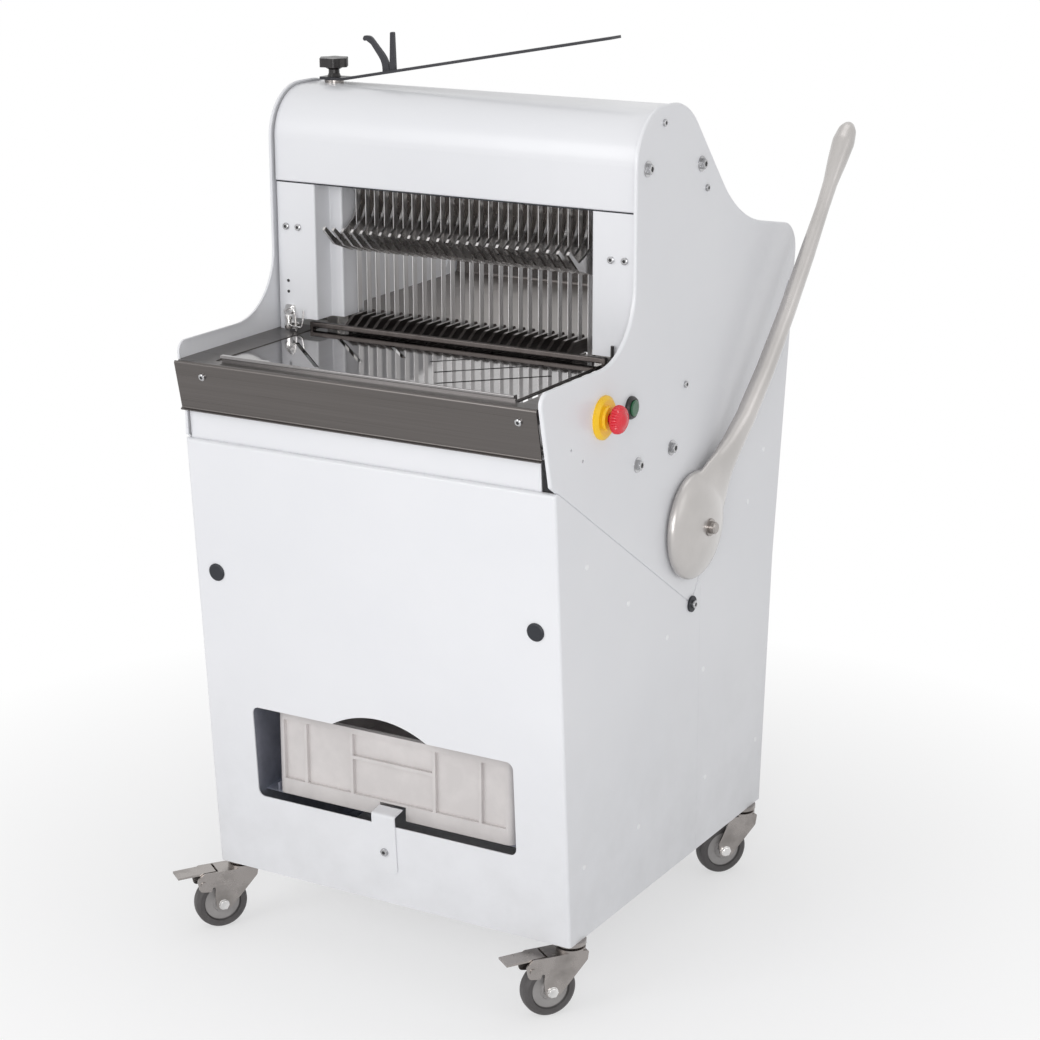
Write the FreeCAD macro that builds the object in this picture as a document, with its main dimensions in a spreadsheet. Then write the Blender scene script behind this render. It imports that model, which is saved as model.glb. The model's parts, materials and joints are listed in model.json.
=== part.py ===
import FreeCAD, Part
import math
import os
from FreeCAD import Placement, Rotation, Vector

# Bakery bread slicer on castors, fed with a side lever.
# Frame: X to the machine's right (lever side), Y from the loading side to the back, Z up.
# Origin: on the floor, under the middle of the cabinet. All sizes in millimetres and degrees.

os.makedirs("parts", exist_ok=True)
doc = FreeCAD.newDocument("bread_slicer")
sheet = doc.addObject("Spreadsheet::Sheet", "d")
SIZES = {
    # Cabinet
    "machine_width": 600,
    "base_depth": 613,
    "base_height": 108,
    "lean_angle": 3.75,
    "skin": 2,
    "panel_top": 772,
    "panel_flange": 7,
    "rail_top": 816,
    "bend_radius": 5,
    "seam_gap": 0.25,
    "seam_place": 82,
    "vee_place": 52,
    "vee_height": 508,
    "vee_rise_angle": 53.5,
    "back_corner_place": 388,
    "back_corner_height": 961,
    "wing_top": 930,
    "floor_thickness": 3,
    "floor_flange": 28,
    # Crate window in the front panel
    "window_width": 438,
    "window_sill": 232,
    "window_head": 374,
    "window_radius": 11,
    "finger_width": 158,
    "finger_rise": 22,
    "plug_spread": 526,
    "plug_height": 575,
    "plug_radius": 13,
    # Head: two pressed side plates with the hood between them
    "press_depth": 5,
    "nose_place": 390,
    "nose_height": 906,
    "nose_foot_height": 784,
    "shoulder_height": 913,
    "neck_place": 131,
    "neck_radius": 95,
    "head_top": 1242,
    "crest_radius": 76,
    "crest_end_place": 20,
    "valley_place": 188,
    "valley_height": 1053,
    "valley_radius": 240,
    "back_shoulder_height": 1015,
    "back_shoulder_radius": 45,
    "hood_face": 122,
    "hood_bottom": 1105,
    "hood_top": 1237,
    "hood_lip": 12,
    "hood_back_place": 92,
    "hood_back_height": 1150,
    "guard_drop": 77,
    # Loading table
    "table_height": 888,
    "tray_thickness": 2,
    "apron_reach": 369,
    "apron_foot_reach": 354,
    "apron_foot_height": 816,
    "apron_hem": 3.5,
    "tray_back": 86,
    "plate_width": 472,
    "plate_front": 347,
    "rim_height": 7,
    "rim_depth": 9,
    "slot_width": 6,
    "slot_start": 163,
    "slot_pitch": 63.5,
    # Opening for the loaf
    "jamb_width": 67,
    "jamb_return": 38,
    "shoulder_width": 21,
    "jamb_foot_gap": 16,
    # Blades and their two frames
    "slice_pitch": 16,
    "blade_count": 25,
    "blade_thickness": 0.8,
    "blade_width": 11,
    "blade_clearance": 1,
    "blade_overhang": 2,
    "front_blade_place": 73,
    "frame_bar": 10,
    "frame_side_width": 14,
    "frame_outer_width": 448,
    "frame_foot": 730,
    "frame_head": 1155,
    "frame_rail_height": 15,
    "guide_clearance": 0.4,
    "guide_width": 18,
    "guide_foot": 660,
    "guide_head": 1125,
    # Crank drive
    "crank_place": 62,
    "crank_height": 600,
    "crank_throw": 20,
    "roller_radius": 11,
    "roller_width": 14,
    "shaft_radius": 12.5,
    "web_radius": 36,
    "web_thickness": 10,
    "yoke_spread": 60,
    "yoke_thickness": 10,
    "yoke_slack": 0.75,
    "crank_pulley_radius": 76,
    "motor_pulley_radius": 31,
    "belt_depth": 8,
    "belt_width": 12,
    "belt_plane": 182,
    "motor_place": 190,
    "motor_height": 300,
    "motor_radius": 65,
    "motor_length": 220,
    "beam_top": 550,
    "left_bearing": 135,
    "right_bearing": 225,
    # Feed lever, its shaft and the pusher
    "lever_place": 42,
    "lever_height": 632,
    "lever_rest_angle": 41,
    "lever_range": 70,
    "hub_radius": 80,
    "hub_rise": 30,
    "hub_gap": 3,
    "lever_length": 695,
    "grip_radius": 18,
    "rocker_length": 187,
    "rocker_thickness": 8,
    "rocker_plane": 260,
    "follower_radius": 10,
    "follower_slack": 2.8,
    "pusher_travel": 217.8,
    "carriage_plane": 240,
    "carriage_bar_width": 10,
    "carriage_bar_height": 24,
    "rail_wall": 4,
    "rail_gap": 0.4,
    "carriage_plate": 5,
    "pusher_rest": 116,
    "pusher_bar": 8,
    "pusher_lift": 3,
    "fin_thickness": 5,
    "fin_height": 20,
    "fin_depth": 70,
    # Hold-down comb
    "comb_shaft_place": 30,
    "comb_shaft_height": 1128,
    "comb_shaft_radius": 8,
    "finger_thickness": 4,
    # Controls on the right side plate
    "stop_place": 221,
    "stop_height": 848,
    "stop_collar_radius": 30,
    "start_place": 144,
    "start_height": 845,
    "start_collar_radius": 16,
    "stem_radius": 8,
    # Bag arm on the hood
    "bag_pivot_place": 14,
    "bag_pivot_spread": 262,
    "bag_arm_rise_angle": 10.3,
    "bag_arm_width": 26,
    "bag_arm_thickness": 4,
    "prong_thickness": 5,
    # Crumb crate
    "crate_width": 400,
    "crate_depth": 300,
    "crate_tall": 125,
    "crate_wall": 3,
    "crate_foot": 233.5,
    "crate_front": 291,
    "crate_channel_width": 44,
    "crate_channel_height": 21,
    "clip_width": 39,
    "clip_top": 247,
    "clip_bottom": 157,
    "clip_lip": 20,
    "clip_screw_height": 190,
    # Castors
    "castor_spread": 568,
    "castor_depth": 552,
    "castor_trail": 36,
    "castor_turn": 36,
    "wheel_radius": 40,
    "wheel_width": 25,
    "castor_head_radius": 22,
}
for row, (name, value) in enumerate(SIZES.items(), 1):
    sheet.set("A%d" % row, name.replace("_", " "))
    sheet.set("B%d" % row, str(value))
    sheet.setAlias("B%d" % row, name)
doc.recompute()


class Sizes:
    """Reads the sheet's cells as plain numbers, for outlines drawn point by point."""

    def __getattr__(self, name):
        return float(sheet.get(name))


d = Sizes()
half = d.machine_width / 2
inner_half = half - d.press_depth
lean = math.tan(math.radians(d.lean_angle))
BACK_FRAME = "(d.front_blade_place - d.frame_bar - d.blade_width - d.blade_clearance)"
back_frame_place = d.front_blade_place - d.frame_bar - d.blade_width - d.blade_clearance


def front_at(height):
    """Y of the leaning front panel's outer face at a height."""
    return -d.base_depth / 2 - (height - d.base_height) * lean


def back_at(height):
    """Y of the back's outer face: it leans out like the front, and more above the vee."""
    knee = d.base_depth / 2 + (d.vee_height - d.base_height) * lean
    if height <= d.vee_height:
        return d.base_depth / 2 + (height - d.base_height) * lean
    share = (height - d.vee_height) / (d.back_corner_height - d.vee_height)
    return knee + share * (d.back_corner_place - knee)


def leg_at(height):
    """Y of the vee's back leg, the lower back edge of the upper side plates."""
    return d.vee_place + (height - d.vee_height) / math.tan(math.radians(d.vee_rise_angle))


# ---------------------------------------------------------------- outlines

class Via:
    """Marks that the side between its neighbours is an arc through this point."""

    def __init__(self, u, v):
        self.at = Vector(u, v, 0)


def corner(before, point, after):
    """Start, middle and end of the arc that rounds a corner; a sharp corner gives one point."""
    here = Vector(point[0], point[1], 0)
    if len(point) < 3 or point[2] <= 0:
        return [here]
    back = (Vector(before[0], before[1], 0) - here).normalize()
    ahead = (Vector(after[0], after[1], 0) - here).normalize()
    opening = back.getAngle(ahead)
    reach = point[2] / math.tan(opening / 2)
    middle = (back + ahead).normalize()
    centre = here + middle * (point[2] / math.sin(opening / 2))
    return [here + back * reach, centre - middle * point[2], here + ahead * reach]


def edges(points):
    """Lines and arcs of a closed outline. A third value in a point rounds its corner."""
    places = [p for p in points if not isinstance(p, Via)]
    rounds = {}
    for i, place in enumerate(places):
        rounds[id(place)] = corner(places[i - 1], place, places[(i + 1) % len(places)])
    shapes = []
    for i, point in enumerate(points):
        if isinstance(point, Via):
            start = rounds[id(points[i - 1])][-1]
            end = rounds[id(points[(i + 1) % len(points)])][0]
            shapes.append(Part.Arc(start, point.at, end))
            continue
        turn = rounds[id(point)]
        if len(turn) == 3:
            shapes.append(Part.Arc(*turn))
        following = points[(i + 1) % len(points)]
        if not isinstance(following, Via):
            end = rounds[id(following)][0]
            if (end - turn[-1]).Length > 1e-6:
                shapes.append(Part.LineSegment(turn[-1], end))
    return shapes


def shifted(path, distance, closed):
    """The path moved sideways to its left by a distance, with its rounded corners kept concentric."""
    count = len(path)
    sides = []
    for i in range(count if closed else count - 1):
        a, b = path[i], path[(i + 1) % count]
        run = Vector(b[0] - a[0], b[1] - a[1], 0).normalize()
        sides.append((Vector(a[0], a[1], 0), run, Vector(-run.y, run.x, 0)))
    moved = []
    for i in range(count):
        point = Vector(path[i][0], path[i][1], 0)
        inner = closed or 0 < i < count - 1
        if not inner:
            move = sides[0 if i == 0 else -1][2] * distance
            moved.append((point.x + move.x, point.y + move.y))
            continue
        before, after = sides[i - 1], sides[i % len(sides)]
        middle = before[2] + after[2]
        move = middle * (distance * 2 / middle.dot(middle))
        spot = (point.x + move.x, point.y + move.y)
        if len(path[i]) > 2:
            turn = before[1].cross(after[1]).z
            radius = path[i][2] - distance if turn > 0 else path[i][2] + distance
            spot = spot + (max(radius, 0),)
        moved.append(spot)
    return moved


def strip(path, thickness):
    """Closed outline of a bent sheet: the path, and the path moved to its left by the thickness."""
    return list(path) + shifted(path, thickness, False)[::-1]


def rectangle(u, v, width, height, radius=0):
    """Outline of a rectangle round its middle."""
    a, b = width / 2, height / 2
    return [(u - a, v - b, radius), (u + a, v - b, radius), (u + a, v + b, radius), (u - a, v + b, radius)]


# ---------------------------------------------------------------- pieces

class Piece:
    """One PartDesign body. Sketches lie on the body's own origin planes; lengths are expressions."""

    def __init__(self, name):
        self.body = doc.addObject("PartDesign::Body", name)
        self.body.Label = name
        self.name = name
        self.steps = 0

    def sketch(self, plane, outlines, offset="0"):
        self.steps += 1
        sketch = self.body.newObject("Sketcher::SketchObject", "%s_sketch_%d" % (self.name, self.steps))
        role = plane + "_Plane"
        origin = next(f for f in self.body.Origin.OriginFeatures if f.Role == role)
        sketch.AttachmentSupport = (origin, [""])
        sketch.MapMode = "FlatFace"
        sketch.setExpression("AttachmentOffset.Base.z", offset)
        for outline in outlines:
            if isinstance(outline, tuple):
                u, v, radius = outline
                sketch.addGeometry(Part.Circle(Vector(u, v, 0), Vector(0, 0, 1), radius), False)
            else:
                sketch.addGeometry(edges(outline), False)
        sketch.Visibility = False
        return sketch

    def feature(self, kind, sketch):
        self.steps += 1
        feature = self.body.newObject("PartDesign::" + kind, "%s_%s_%d" % (self.name, kind.lower(), self.steps))
        feature.Profile = sketch
        return feature

    def pad(self, plane, outlines, thickness, middle="0"):
        """Adds a prism of the thickness, half of it on each side of the plane moved to the middle."""
        pad = self.feature("Pad", self.sketch(plane, outlines, middle))
        pad.Midplane = True
        pad.setExpression("Length", thickness)
        return pad

    def pocket(self, plane, outlines, depth, middle="0"):
        """Cuts a prism of the depth, half of it on each side of the plane moved to the middle."""
        pocket = self.feature("Pocket", self.sketch(plane, outlines, middle))
        pocket.Midplane = True
        pocket.setExpression("Length", depth)
        return pocket

    def turn(self, outlines, axis="H_Axis"):
        """Revolves an outline drawn on the XZ plane about X (H_Axis) or Z (V_Axis)."""
        sketch = self.sketch("XZ", outlines)
        feature = self.feature("Revolution", sketch)
        feature.ReferenceAxis = (sketch, [axis])
        feature.Angle = 360
        return feature

    def repeat(self, feature, sketch, length, count):
        """Repeats a feature along its sketch's normal."""
        pattern = self.body.newObject("PartDesign::LinearPattern", self.name + "_row")
        pattern.Originals = [feature]
        pattern.Direction = (sketch, ["N_Axis"])
        pattern.setExpression("Length", length)
        pattern.setExpression("Occurrences", count)
        self.body.Tip = pattern
        return pattern

    def place(self, x="0", y="0", z="0", rotation=None):
        """Moves the whole body; each coordinate is an expression."""
        return place(self.body, x, y, z, rotation)


def place(thing, x="0", y="0", z="0", rotation=None):
    """Gives an object its turn, then binds its place to the sheet."""
    thing.Placement = Placement(Vector(0, 0, 0), rotation or Rotation())
    for axis, text in zip("xyz", (x, y, z)):
        thing.setExpression("Placement.Base." + axis, text)
    return thing


def box(name, length, width, height, x, y, z):
    """A Part::Box from its low corner."""
    thing = doc.addObject("Part::Box", name)
    for prop, text in (("Length", length), ("Width", width), ("Height", height)):
        thing.setExpression(prop, text)
    return place(thing, x, y, z)


ALONG_X = Rotation(Vector(0, 1, 0), 90)


def forward(tilt=0):
    """Turns the Z axis to the front, and down by a tilt: the outward direction of a leaning face."""
    return Rotation(Vector(1, 0, 0), 90 + tilt)


def rod(name, radius, length, x, y, z, rotation=ALONG_X):
    """A Part::Cylinder that starts at the place and runs along the rotated Z axis."""
    thing = doc.addObject("Part::Cylinder", name)
    thing.setExpression("Radius", radius)
    thing.setExpression("Height", length)
    return place(thing, x, y, z, rotation)


def fuse(name, things):
    thing = doc.addObject("Part::MultiFuse", name)
    thing.Shapes = things
    return thing


def group(name, things):
    """Separate solids that share one node."""
    thing = doc.addObject("Part::Compound", name)
    thing.Links = things
    return thing


def mirrored(name, source):
    """The same piece on the machine's other side."""
    thing = doc.addObject("Part::Mirroring", name)
    thing.Source = source
    thing.Normal = Vector(1, 0, 0)
    return thing


nodes = []


def node(thing, label=None):
    """Marks an object as a sub-part that gets a file of its own."""
    thing.Label = label or thing.Name
    nodes.append(thing)
    return thing


# ---------------------------------------------------------------- cabinet

# Folded floor with an upstand all round and a hole for each castor's bolt.
floor = Piece("base_plate")
floor_width = d.machine_width - 2 * d.skin
floor_depth = d.base_depth - 2 * d.skin
floor.pad("XY", [rectangle(0, 0, floor_width, floor_depth, d.bend_radius)],
          "d.floor_flange", "d.base_height + d.floor_flange / 2")
floor.pocket("XY", [rectangle(0, 0, floor_width - 2 * d.floor_thickness, floor_depth - 2 * d.floor_thickness,
                              d.bend_radius - d.floor_thickness)],
             "d.floor_flange", "d.base_height + d.floor_thickness + d.floor_flange / 2")
bolt_radius = 6
castor_spots = [(sx * d.castor_spread / 2, sy * d.castor_depth / 2) for sy in (-1, 1) for sx in (-1, 1)]
floor.pocket("XY", [(x, y, bolt_radius) for x, y in castor_spots], "d.floor_thickness * 3",
             "d.base_height")
node(floor.body)

# Front shell: leaning panel and two wings in one sheet, open behind, with the crate's window.
rise = math.tan(math.radians(d.vee_rise_angle))
front_low = front_at(d.base_height)
panel_face = front_at(d.panel_top)
vee_slope = (d.panel_top - d.vee_height) / (panel_face - d.vee_place)
seam_top = d.vee_height + (d.seam_place - d.vee_place) * rise
front_shell = Piece("front_shell")
side = [(front_low, d.base_height), (d.seam_place - d.seam_gap, d.base_height),
        (d.seam_place - d.seam_gap, seam_top - 2 * d.seam_gap), (d.vee_place, d.vee_height - 2 * d.seam_gap),
        (panel_face + d.panel_flange, d.panel_top), (panel_face, d.panel_top)]
front_shell.pad("YZ", [side], "d.machine_width")
far = d.machine_width
inside = [(front_low + d.skin + far * lean, d.base_height - far), (far, d.base_height - far),
          (far, d.panel_top + far), (panel_face + d.panel_flange, d.panel_top + far),
          (panel_face + d.panel_flange, d.panel_top - d.skin),
          (front_at(d.panel_top - d.skin) + d.skin, d.panel_top - d.skin)]
front_shell.pocket("YZ", [inside], "d.machine_width - 2 * d.skin")
finger_half = d.finger_width / 2
window_half = d.window_width / 2
window = [(-window_half, d.window_sill, d.window_radius), (window_half, d.window_sill, d.window_radius),
          (window_half, d.window_head, d.window_radius), (finger_half, d.window_head),
          Via(0, d.window_head + d.finger_rise), (-finger_half, d.window_head),
          (-window_half, d.window_head, d.window_radius)]
front_shell.pocket("XZ", [window], "d.base_depth / 4", "d.base_depth / 2")
plug_half = d.plug_spread / 2
front_shell.pocket("XZ", [(-plug_half, d.plug_height, d.plug_radius - 3), (plug_half, d.plug_height, d.plug_radius - 3),
                          (0, d.clip_screw_height, 3.2)], "d.base_depth / 4", "d.base_depth / 2")


def round_long_edges(piece, name, radius, chosen):
    """Rounds the edges of a body's tip that the test picks."""
    doc.recompute()
    tip = piece.body.Tip
    names = ["Edge%d" % (i + 1) for i, edge in enumerate(tip.Shape.Edges) if chosen(edge)]
    fillet = piece.body.newObject("PartDesign::Fillet", name)
    fillet.Base = (tip, names)
    fillet.setExpression("Radius", radius)
    piece.body.Tip = fillet
    return fillet


def is_front_corner(edge):
    """The shell's two outer bends, from the floor to the panel's top, and the bend along that top."""
    box_of = edge.BoundBox
    on_side = abs(abs(box_of.Center.x) - half) < 0.01
    upright = on_side and box_of.ZLength > 0.9 * (d.panel_top - d.base_height) and box_of.YMax < 0
    along_top = box_of.XLength > half and box_of.ZMin > d.panel_top - 0.01 and box_of.YMax < panel_face + 0.01
    return upright or along_top


round_long_edges(front_shell, "front_shell_bends", "d.bend_radius", is_front_corner)
node(front_shell.body)

# Rear shell: back and two wings that climb to the vee's back leg; open at the top for the outfeed.
rear_shell = Piece("rear_shell")
back_low = back_at(d.base_height)
wing_top_back = back_at(d.wing_top)
side = [(d.seam_place, d.base_height), (back_low, d.base_height), (back_at(d.vee_height), d.vee_height),
        (wing_top_back, d.wing_top), (leg_at(d.wing_top) + 2 * d.seam_gap, d.wing_top),
        (d.seam_place, seam_top - 2 * d.seam_gap)]
rear_shell.pad("YZ", [side], "d.machine_width")
upper_lean = (wing_top_back - back_at(d.vee_height)) / (d.wing_top - d.vee_height)
inside = [(-far, d.base_height - far), (back_low - d.skin - far * lean, d.base_height - far),
          (back_at(d.vee_height) - d.skin, d.vee_height),
          (wing_top_back - d.skin + far * upper_lean, d.wing_top + far), (-far, d.wing_top + far)]
rear_shell.pocket("YZ", [inside], "d.machine_width - 2 * d.skin")
panel_sill = d.table_height - d.tray_thickness
outfeed_room = rectangle(0, (panel_sill + far) / 2, d.machine_width - 2 * d.skin, far - panel_sill)
rear_shell.pocket("XZ", [outfeed_room], "d.base_depth / 4", "-d.back_corner_place")
node(rear_shell.body)

# Cross rail between the side plates, under the tray, seen as a narrow strip above the panel.
rail = Piece("front_rail")
rail_foot = d.panel_top - 8
rail_set_back = d.panel_flange + 1
rail_end_gap = 25
rail.pad("YZ", [strip([(front_at(rail_foot) + rail_set_back, rail_foot),
                       (front_at(d.rail_top) + rail_set_back, d.rail_top, d.skin),
                       (front_at(d.rail_top) + 30, d.rail_top)][::-1], d.skin)],
         "d.machine_width - %s" % (2 * rail_end_gap))
node(rail.body)

# Flat rivet heads on both wings: a row across the front one, the others by the back leg and the floor.
rivet_radius = 4
rivet_spots = [(-264 + 120 * i, 651 - 86 * i) for i in range(4)]
rivet_spots += [(238, 616), (290, 686)]
rivet_spots += [(y, d.base_height + 108) for y in (-268, -106, 109, 286)]


def both_sides(name, spots, radius, rise_of_head):
    """Short round heads standing on the outer side faces, right and left."""
    heads = []
    for i, (y, z) in enumerate(spots):
        for side_name, start in (("right", "d.machine_width / 2"),
                                 ("left", "-d.machine_width / 2 - %s" % rise_of_head)):
            heads.append(rod("%s_%s_%d" % (name, side_name, i), str(radius), str(rise_of_head), start,
                             str(round(y, 2)), str(round(z, 2))))
    return heads


node(group("shell_rivets", both_sides("rivet", rivet_spots, rivet_radius, 0.6)))
washers = both_sides("washer", [(d.vee_place, d.vee_height)], 12, 3)
node(group("seam_washers", washers))

# Round plugs that hold the front panel.
plugs = []
for sign in (-1, 1):
    plug = Piece("plug_%d" % (sign + 1))
    face = d.plug_radius
    plug.turn([[(-8, 0), (-8, face - 3.2), (0, face - 3.2), (0, face), (1.5, face), (3, face - 2), (3, 0)]])
    plug.place("%d * d.plug_spread / 2" % sign,
               "-d.base_depth / 2 - (d.plug_height - d.base_height) * tan(d.lean_angle)", "d.plug_height",
               Rotation(Vector(1, 0, 0), d.lean_angle) * Rotation(Vector(0, 0, 1), -90))
    plugs.append(plug.body)
node(group("panel_plugs", plugs))

# ---------------------------------------------------------------- head

# Upper side plates: pressed trays, open inward, with a round nose in front and an S-shaped back.
# The nose of the right one stands in front of the apron, that of the left one lies behind it.
bush_outer = d.shaft_radius + 4.5
foot_line = (d.nose_foot_height - d.vee_height) / (panel_face - 10 - d.vee_place)
apron_gap = d.tray_thickness + 2


def side_plate(name, sign, front, holes):
    """One plate. The front is its edge from the nose down to the foot, which stands on the panel."""
    foot_y = front[-1]
    foot = (foot_y, d.vee_height + (foot_y - d.vee_place) * foot_line, 3)
    outline = [
        foot,
        (d.vee_place, d.vee_height, 6),
        (leg_at(d.wing_top), d.wing_top, 3),
        (back_at(d.wing_top + 3), d.wing_top + 3, 3),
        (back_at(d.back_shoulder_height), d.back_shoulder_height, d.back_shoulder_radius),
        (d.valley_place, d.valley_height, d.valley_radius),
        (d.crest_end_place, d.head_top, 100),
        (-d.neck_place, d.head_top, d.crest_radius),
        (-d.neck_place, d.shoulder_height, d.neck_radius),
    ] + front[:-1]
    plate = Piece(name)
    plate.pad("YZ", [outline], "d.press_depth", "%d * (d.machine_width - d.press_depth) / 2" % sign)

    def is_outer_edge(edge):
        """Edges in the plate's outer face."""
        return max(abs(edge.BoundBox.XMin - sign * half), abs(edge.BoundBox.XMax - sign * half)) < 0.01

    round_long_edges(plate, name + "_edge", "d.bend_radius * 0.7", is_outer_edge)
    plate.pocket("YZ", [shifted(outline, d.skin, True)], "2 * (d.press_depth - d.skin)",
                 "%d * (d.machine_width / 2 - d.press_depth)" % sign)
    plate.pocket("YZ", holes, "4 * d.press_depth", "%d * d.machine_width / 2" % sign)
    return node(plate.body)


nose_top = d.nose_height + 8
shaft_hole = (d.lever_place, d.lever_height, bush_outer)
control_holes = [(-place, height, d.stem_radius + 3) for place, height in
                 ((d.stop_place, d.stop_height), (d.start_place, d.start_height))]
small_holes = [(-308, 823, 2.2), (-276, 801, 2.2)]
side_plate("side_plate_right", 1, [(-d.nose_place, nose_top, 16), panel_face - 10],
           [shaft_hole] + control_holes + small_holes)
side_plate("side_plate_left", -1, [(apron_gap - d.apron_reach, nose_top, 16),
                                   (apron_gap - d.apron_foot_reach, d.apron_foot_height),
                                   apron_gap - d.apron_foot_reach], [shaft_hole])

# Tie bars across the head, with a washered bolt on each end; two more bolts and small screws below.
tie_spots = [(-101, 1163), (61, 1149)]
bolt_spots = tie_spots + [(-121, 759), (-19, 760)]
screw_spots = [(-54, 1219), (79, 1113), (21, 843)]
heads = [rod("tie_%d" % i, "8", "d.machine_width - 2 * d.skin", "-d.machine_width / 2 + d.skin", str(y), str(z))
         for i, (y, z) in enumerate(tie_spots)]
heads += both_sides("plate_washer", bolt_spots, 11, 1.2)
for i, (y, z) in enumerate(bolt_spots):
    for side_name, start in (("right", "d.machine_width / 2 + 1.2"), ("left", "-d.machine_width / 2 - 6.2")):
        head = doc.addObject("Part::Prism", "plate_bolt_%s_%d" % (side_name, i))
        head.Polygon = 6
        head.Circumradius = 7.5
        head.Height = 5
        heads.append(place(head, start, str(y), str(z), ALONG_X))
heads += both_sides("plate_screw", screw_spots, 5, 2.4)
for side_name, start in (("right", "d.machine_width / 2 + 3"), ("left", "-d.machine_width / 2 - 7")):
    heads.append(rod("seam_bolt_" + side_name, "6", "4", start, "d.vee_place", "d.vee_height"))
node(group("tie_bars_and_bolts", heads))

# Hood: one bent sheet, rounded over the front, sloping down behind, with a lip under the front.
hood_path = [
    (-d.hood_face + d.hood_lip, d.hood_bottom),
    (-d.hood_face, d.hood_bottom, 3),
    (-d.hood_face, d.hood_top, d.crest_radius - 6),
    (d.crest_end_place - 3, d.hood_top, 40),
    (d.hood_back_place, d.hood_back_height),
]
hood = Piece("hood_cover")
hood.pad("YZ", [strip(hood_path[::-1], d.skin)], "d.machine_width - 2 * d.press_depth - 1")
node(hood.body)

# Jambs: stepped sheet posts on both sides of the opening, cut back at the foot for the pusher.
jamb_inner = inner_half - 0.5 - d.jamb_width
jamb_path = [
    (inner_half - 0.5, -d.hood_face + 30),
    (inner_half - 0.5, -d.hood_face, 3),
    (jamb_inner, -d.hood_face, 3),
    (jamb_inner, -d.hood_face + d.jamb_return, 2.5),
    (jamb_inner - d.shoulder_width, -d.hood_face + d.jamb_return, 3),
    (jamb_inner - d.shoulder_width, -back_frame_place + 20),
]
jamb = Piece("jamb_right")
jamb.pad("XY", [strip(jamb_path[::-1], d.skin)], "d.hood_bottom - d.table_height",
         "(d.hood_bottom + d.table_height) / 2")
notch_width = 80
jamb.pocket("XZ", [rectangle(jamb_inner - d.shoulder_width + notch_width / 2 - 10, d.table_height,
                             notch_width, 2 * d.jamb_foot_gap + 4)], "d.base_depth", "0")
node(jamb.body)
node(mirrored("jamb_left", jamb.body))

# Pan-head screws of the jambs, and those of the apron and the crate's clip.
cover_screws = []
for sign in (-1, 1):
    for place_x in (257, 278):
        cover_screws.append(rod("jamb_screw_%d_%d" % (sign + 1, place_x), "5", "2.5", str(sign * place_x),
                                "-d.hood_face", "1040", forward()))

# ---------------------------------------------------------------- loading table

# Tray: a stainless sheet over the front rail, bent down into the leaning apron with a kick at its foot.
# The apron laps over the left side plate's edge and stops short of the right one's.
tray = Piece("infeed_tray")
top = d.table_height
tray_path = [
    (-d.tray_back, top),
    (-d.apron_reach, top, 4),
    (-d.apron_foot_reach, d.apron_foot_height + 2, 2),
    (-d.apron_foot_reach - d.apron_hem, d.apron_foot_height),
]
tray.pad("YZ", [strip(tray_path, d.tray_thickness)], "d.machine_width")
tray_edges = [rectangle(sign * half, (0.5 - d.apron_reach + d.tray_thickness) / 2, 2 * d.skin,
                        d.apron_reach - d.tray_thickness - 0.5) for sign in (-1, 1)]
tray_edges.append(rectangle(-half, apron_gap - d.apron_reach + 3, 2 * (d.press_depth + 0.2), 9))
tray.pocket("XY", tray_edges, "d.tray_thickness * 6", "d.table_height")
apron_end = rectangle(half, d.table_height - 50, 2 * 18, 120)
tray.pocket("XZ", [apron_end], "2 * (d.apron_reach - d.apron_foot_reach + 5)", "d.apron_reach")
slot_half = d.carriage_plane + d.carriage_plate / 2
crumb_width = d.plate_width - 46
crumb_front = d.plate_front - 22
crumb_back = d.tray_back + 14
slot_front = d.pusher_rest + d.pusher_travel + 10
tray_holes = [rectangle(0, -(crumb_front + crumb_back) / 2, crumb_width, crumb_front - crumb_back, 8)]
for sign in (-1, 1):
    tray_holes.append([(sign * slot_half - 4.5, -slot_front, 3), (sign * slot_half + 4.5, -slot_front, 3),
                       (sign * slot_half + 4.5, 0), (sign * slot_half - 4.5, 0)][::sign])
tray.pocket("XY", tray_holes, "d.tray_thickness * 6", "d.table_height")
node(tray.body)

# Polished plate on the tray: slots in a V, and a rim bar in front that overhangs the tray.
table = Piece("table_plate")
plate_top = top + d.tray_thickness
rim_top = plate_top + d.rim_height
rim_step = d.rim_depth / 2
table_path = [
    (-d.tray_back - 1, top),
    (-d.plate_front + rim_step, top),
    (-d.plate_front + rim_step, rim_top - rim_step),
    (-d.plate_front, rim_top - rim_step, 1),
    (-d.plate_front, rim_top, 1.5),
    (-d.plate_front + d.rim_depth, rim_top, 1.5),
    (-d.plate_front + d.rim_depth, plate_top, 1),
    (-d.tray_back - 1, plate_top),
]
table.pad("YZ", [table_path[::-1]], "d.plate_width")
slots = []
ends = [(-1, -1), (1, -1), (1, 1), (-1, 1)]
# Each row: where its middle lies along the slot's own direction, and the slot's length.
slot_rows = [(-93, 80), (-65, 155), (-76, 165)]
for sign in (-1, 1):
    run = Vector(sign, 1, 0).normalize()
    across = Vector(sign, -1, 0).normalize()
    for row, (along, length) in enumerate(slot_rows):
        middle = run * along + across * (d.slot_start + row * d.slot_pitch)
        corners = [middle + run * (a * length / 2) + across * (b * d.slot_width / 2) for a, b in ends]
        slots.append([(spot.x, spot.y, 2.5) for spot in corners])
table.pocket("XY", slots, "d.tray_thickness * 6", "d.table_height + d.tray_thickness")
node(table.body)

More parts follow.
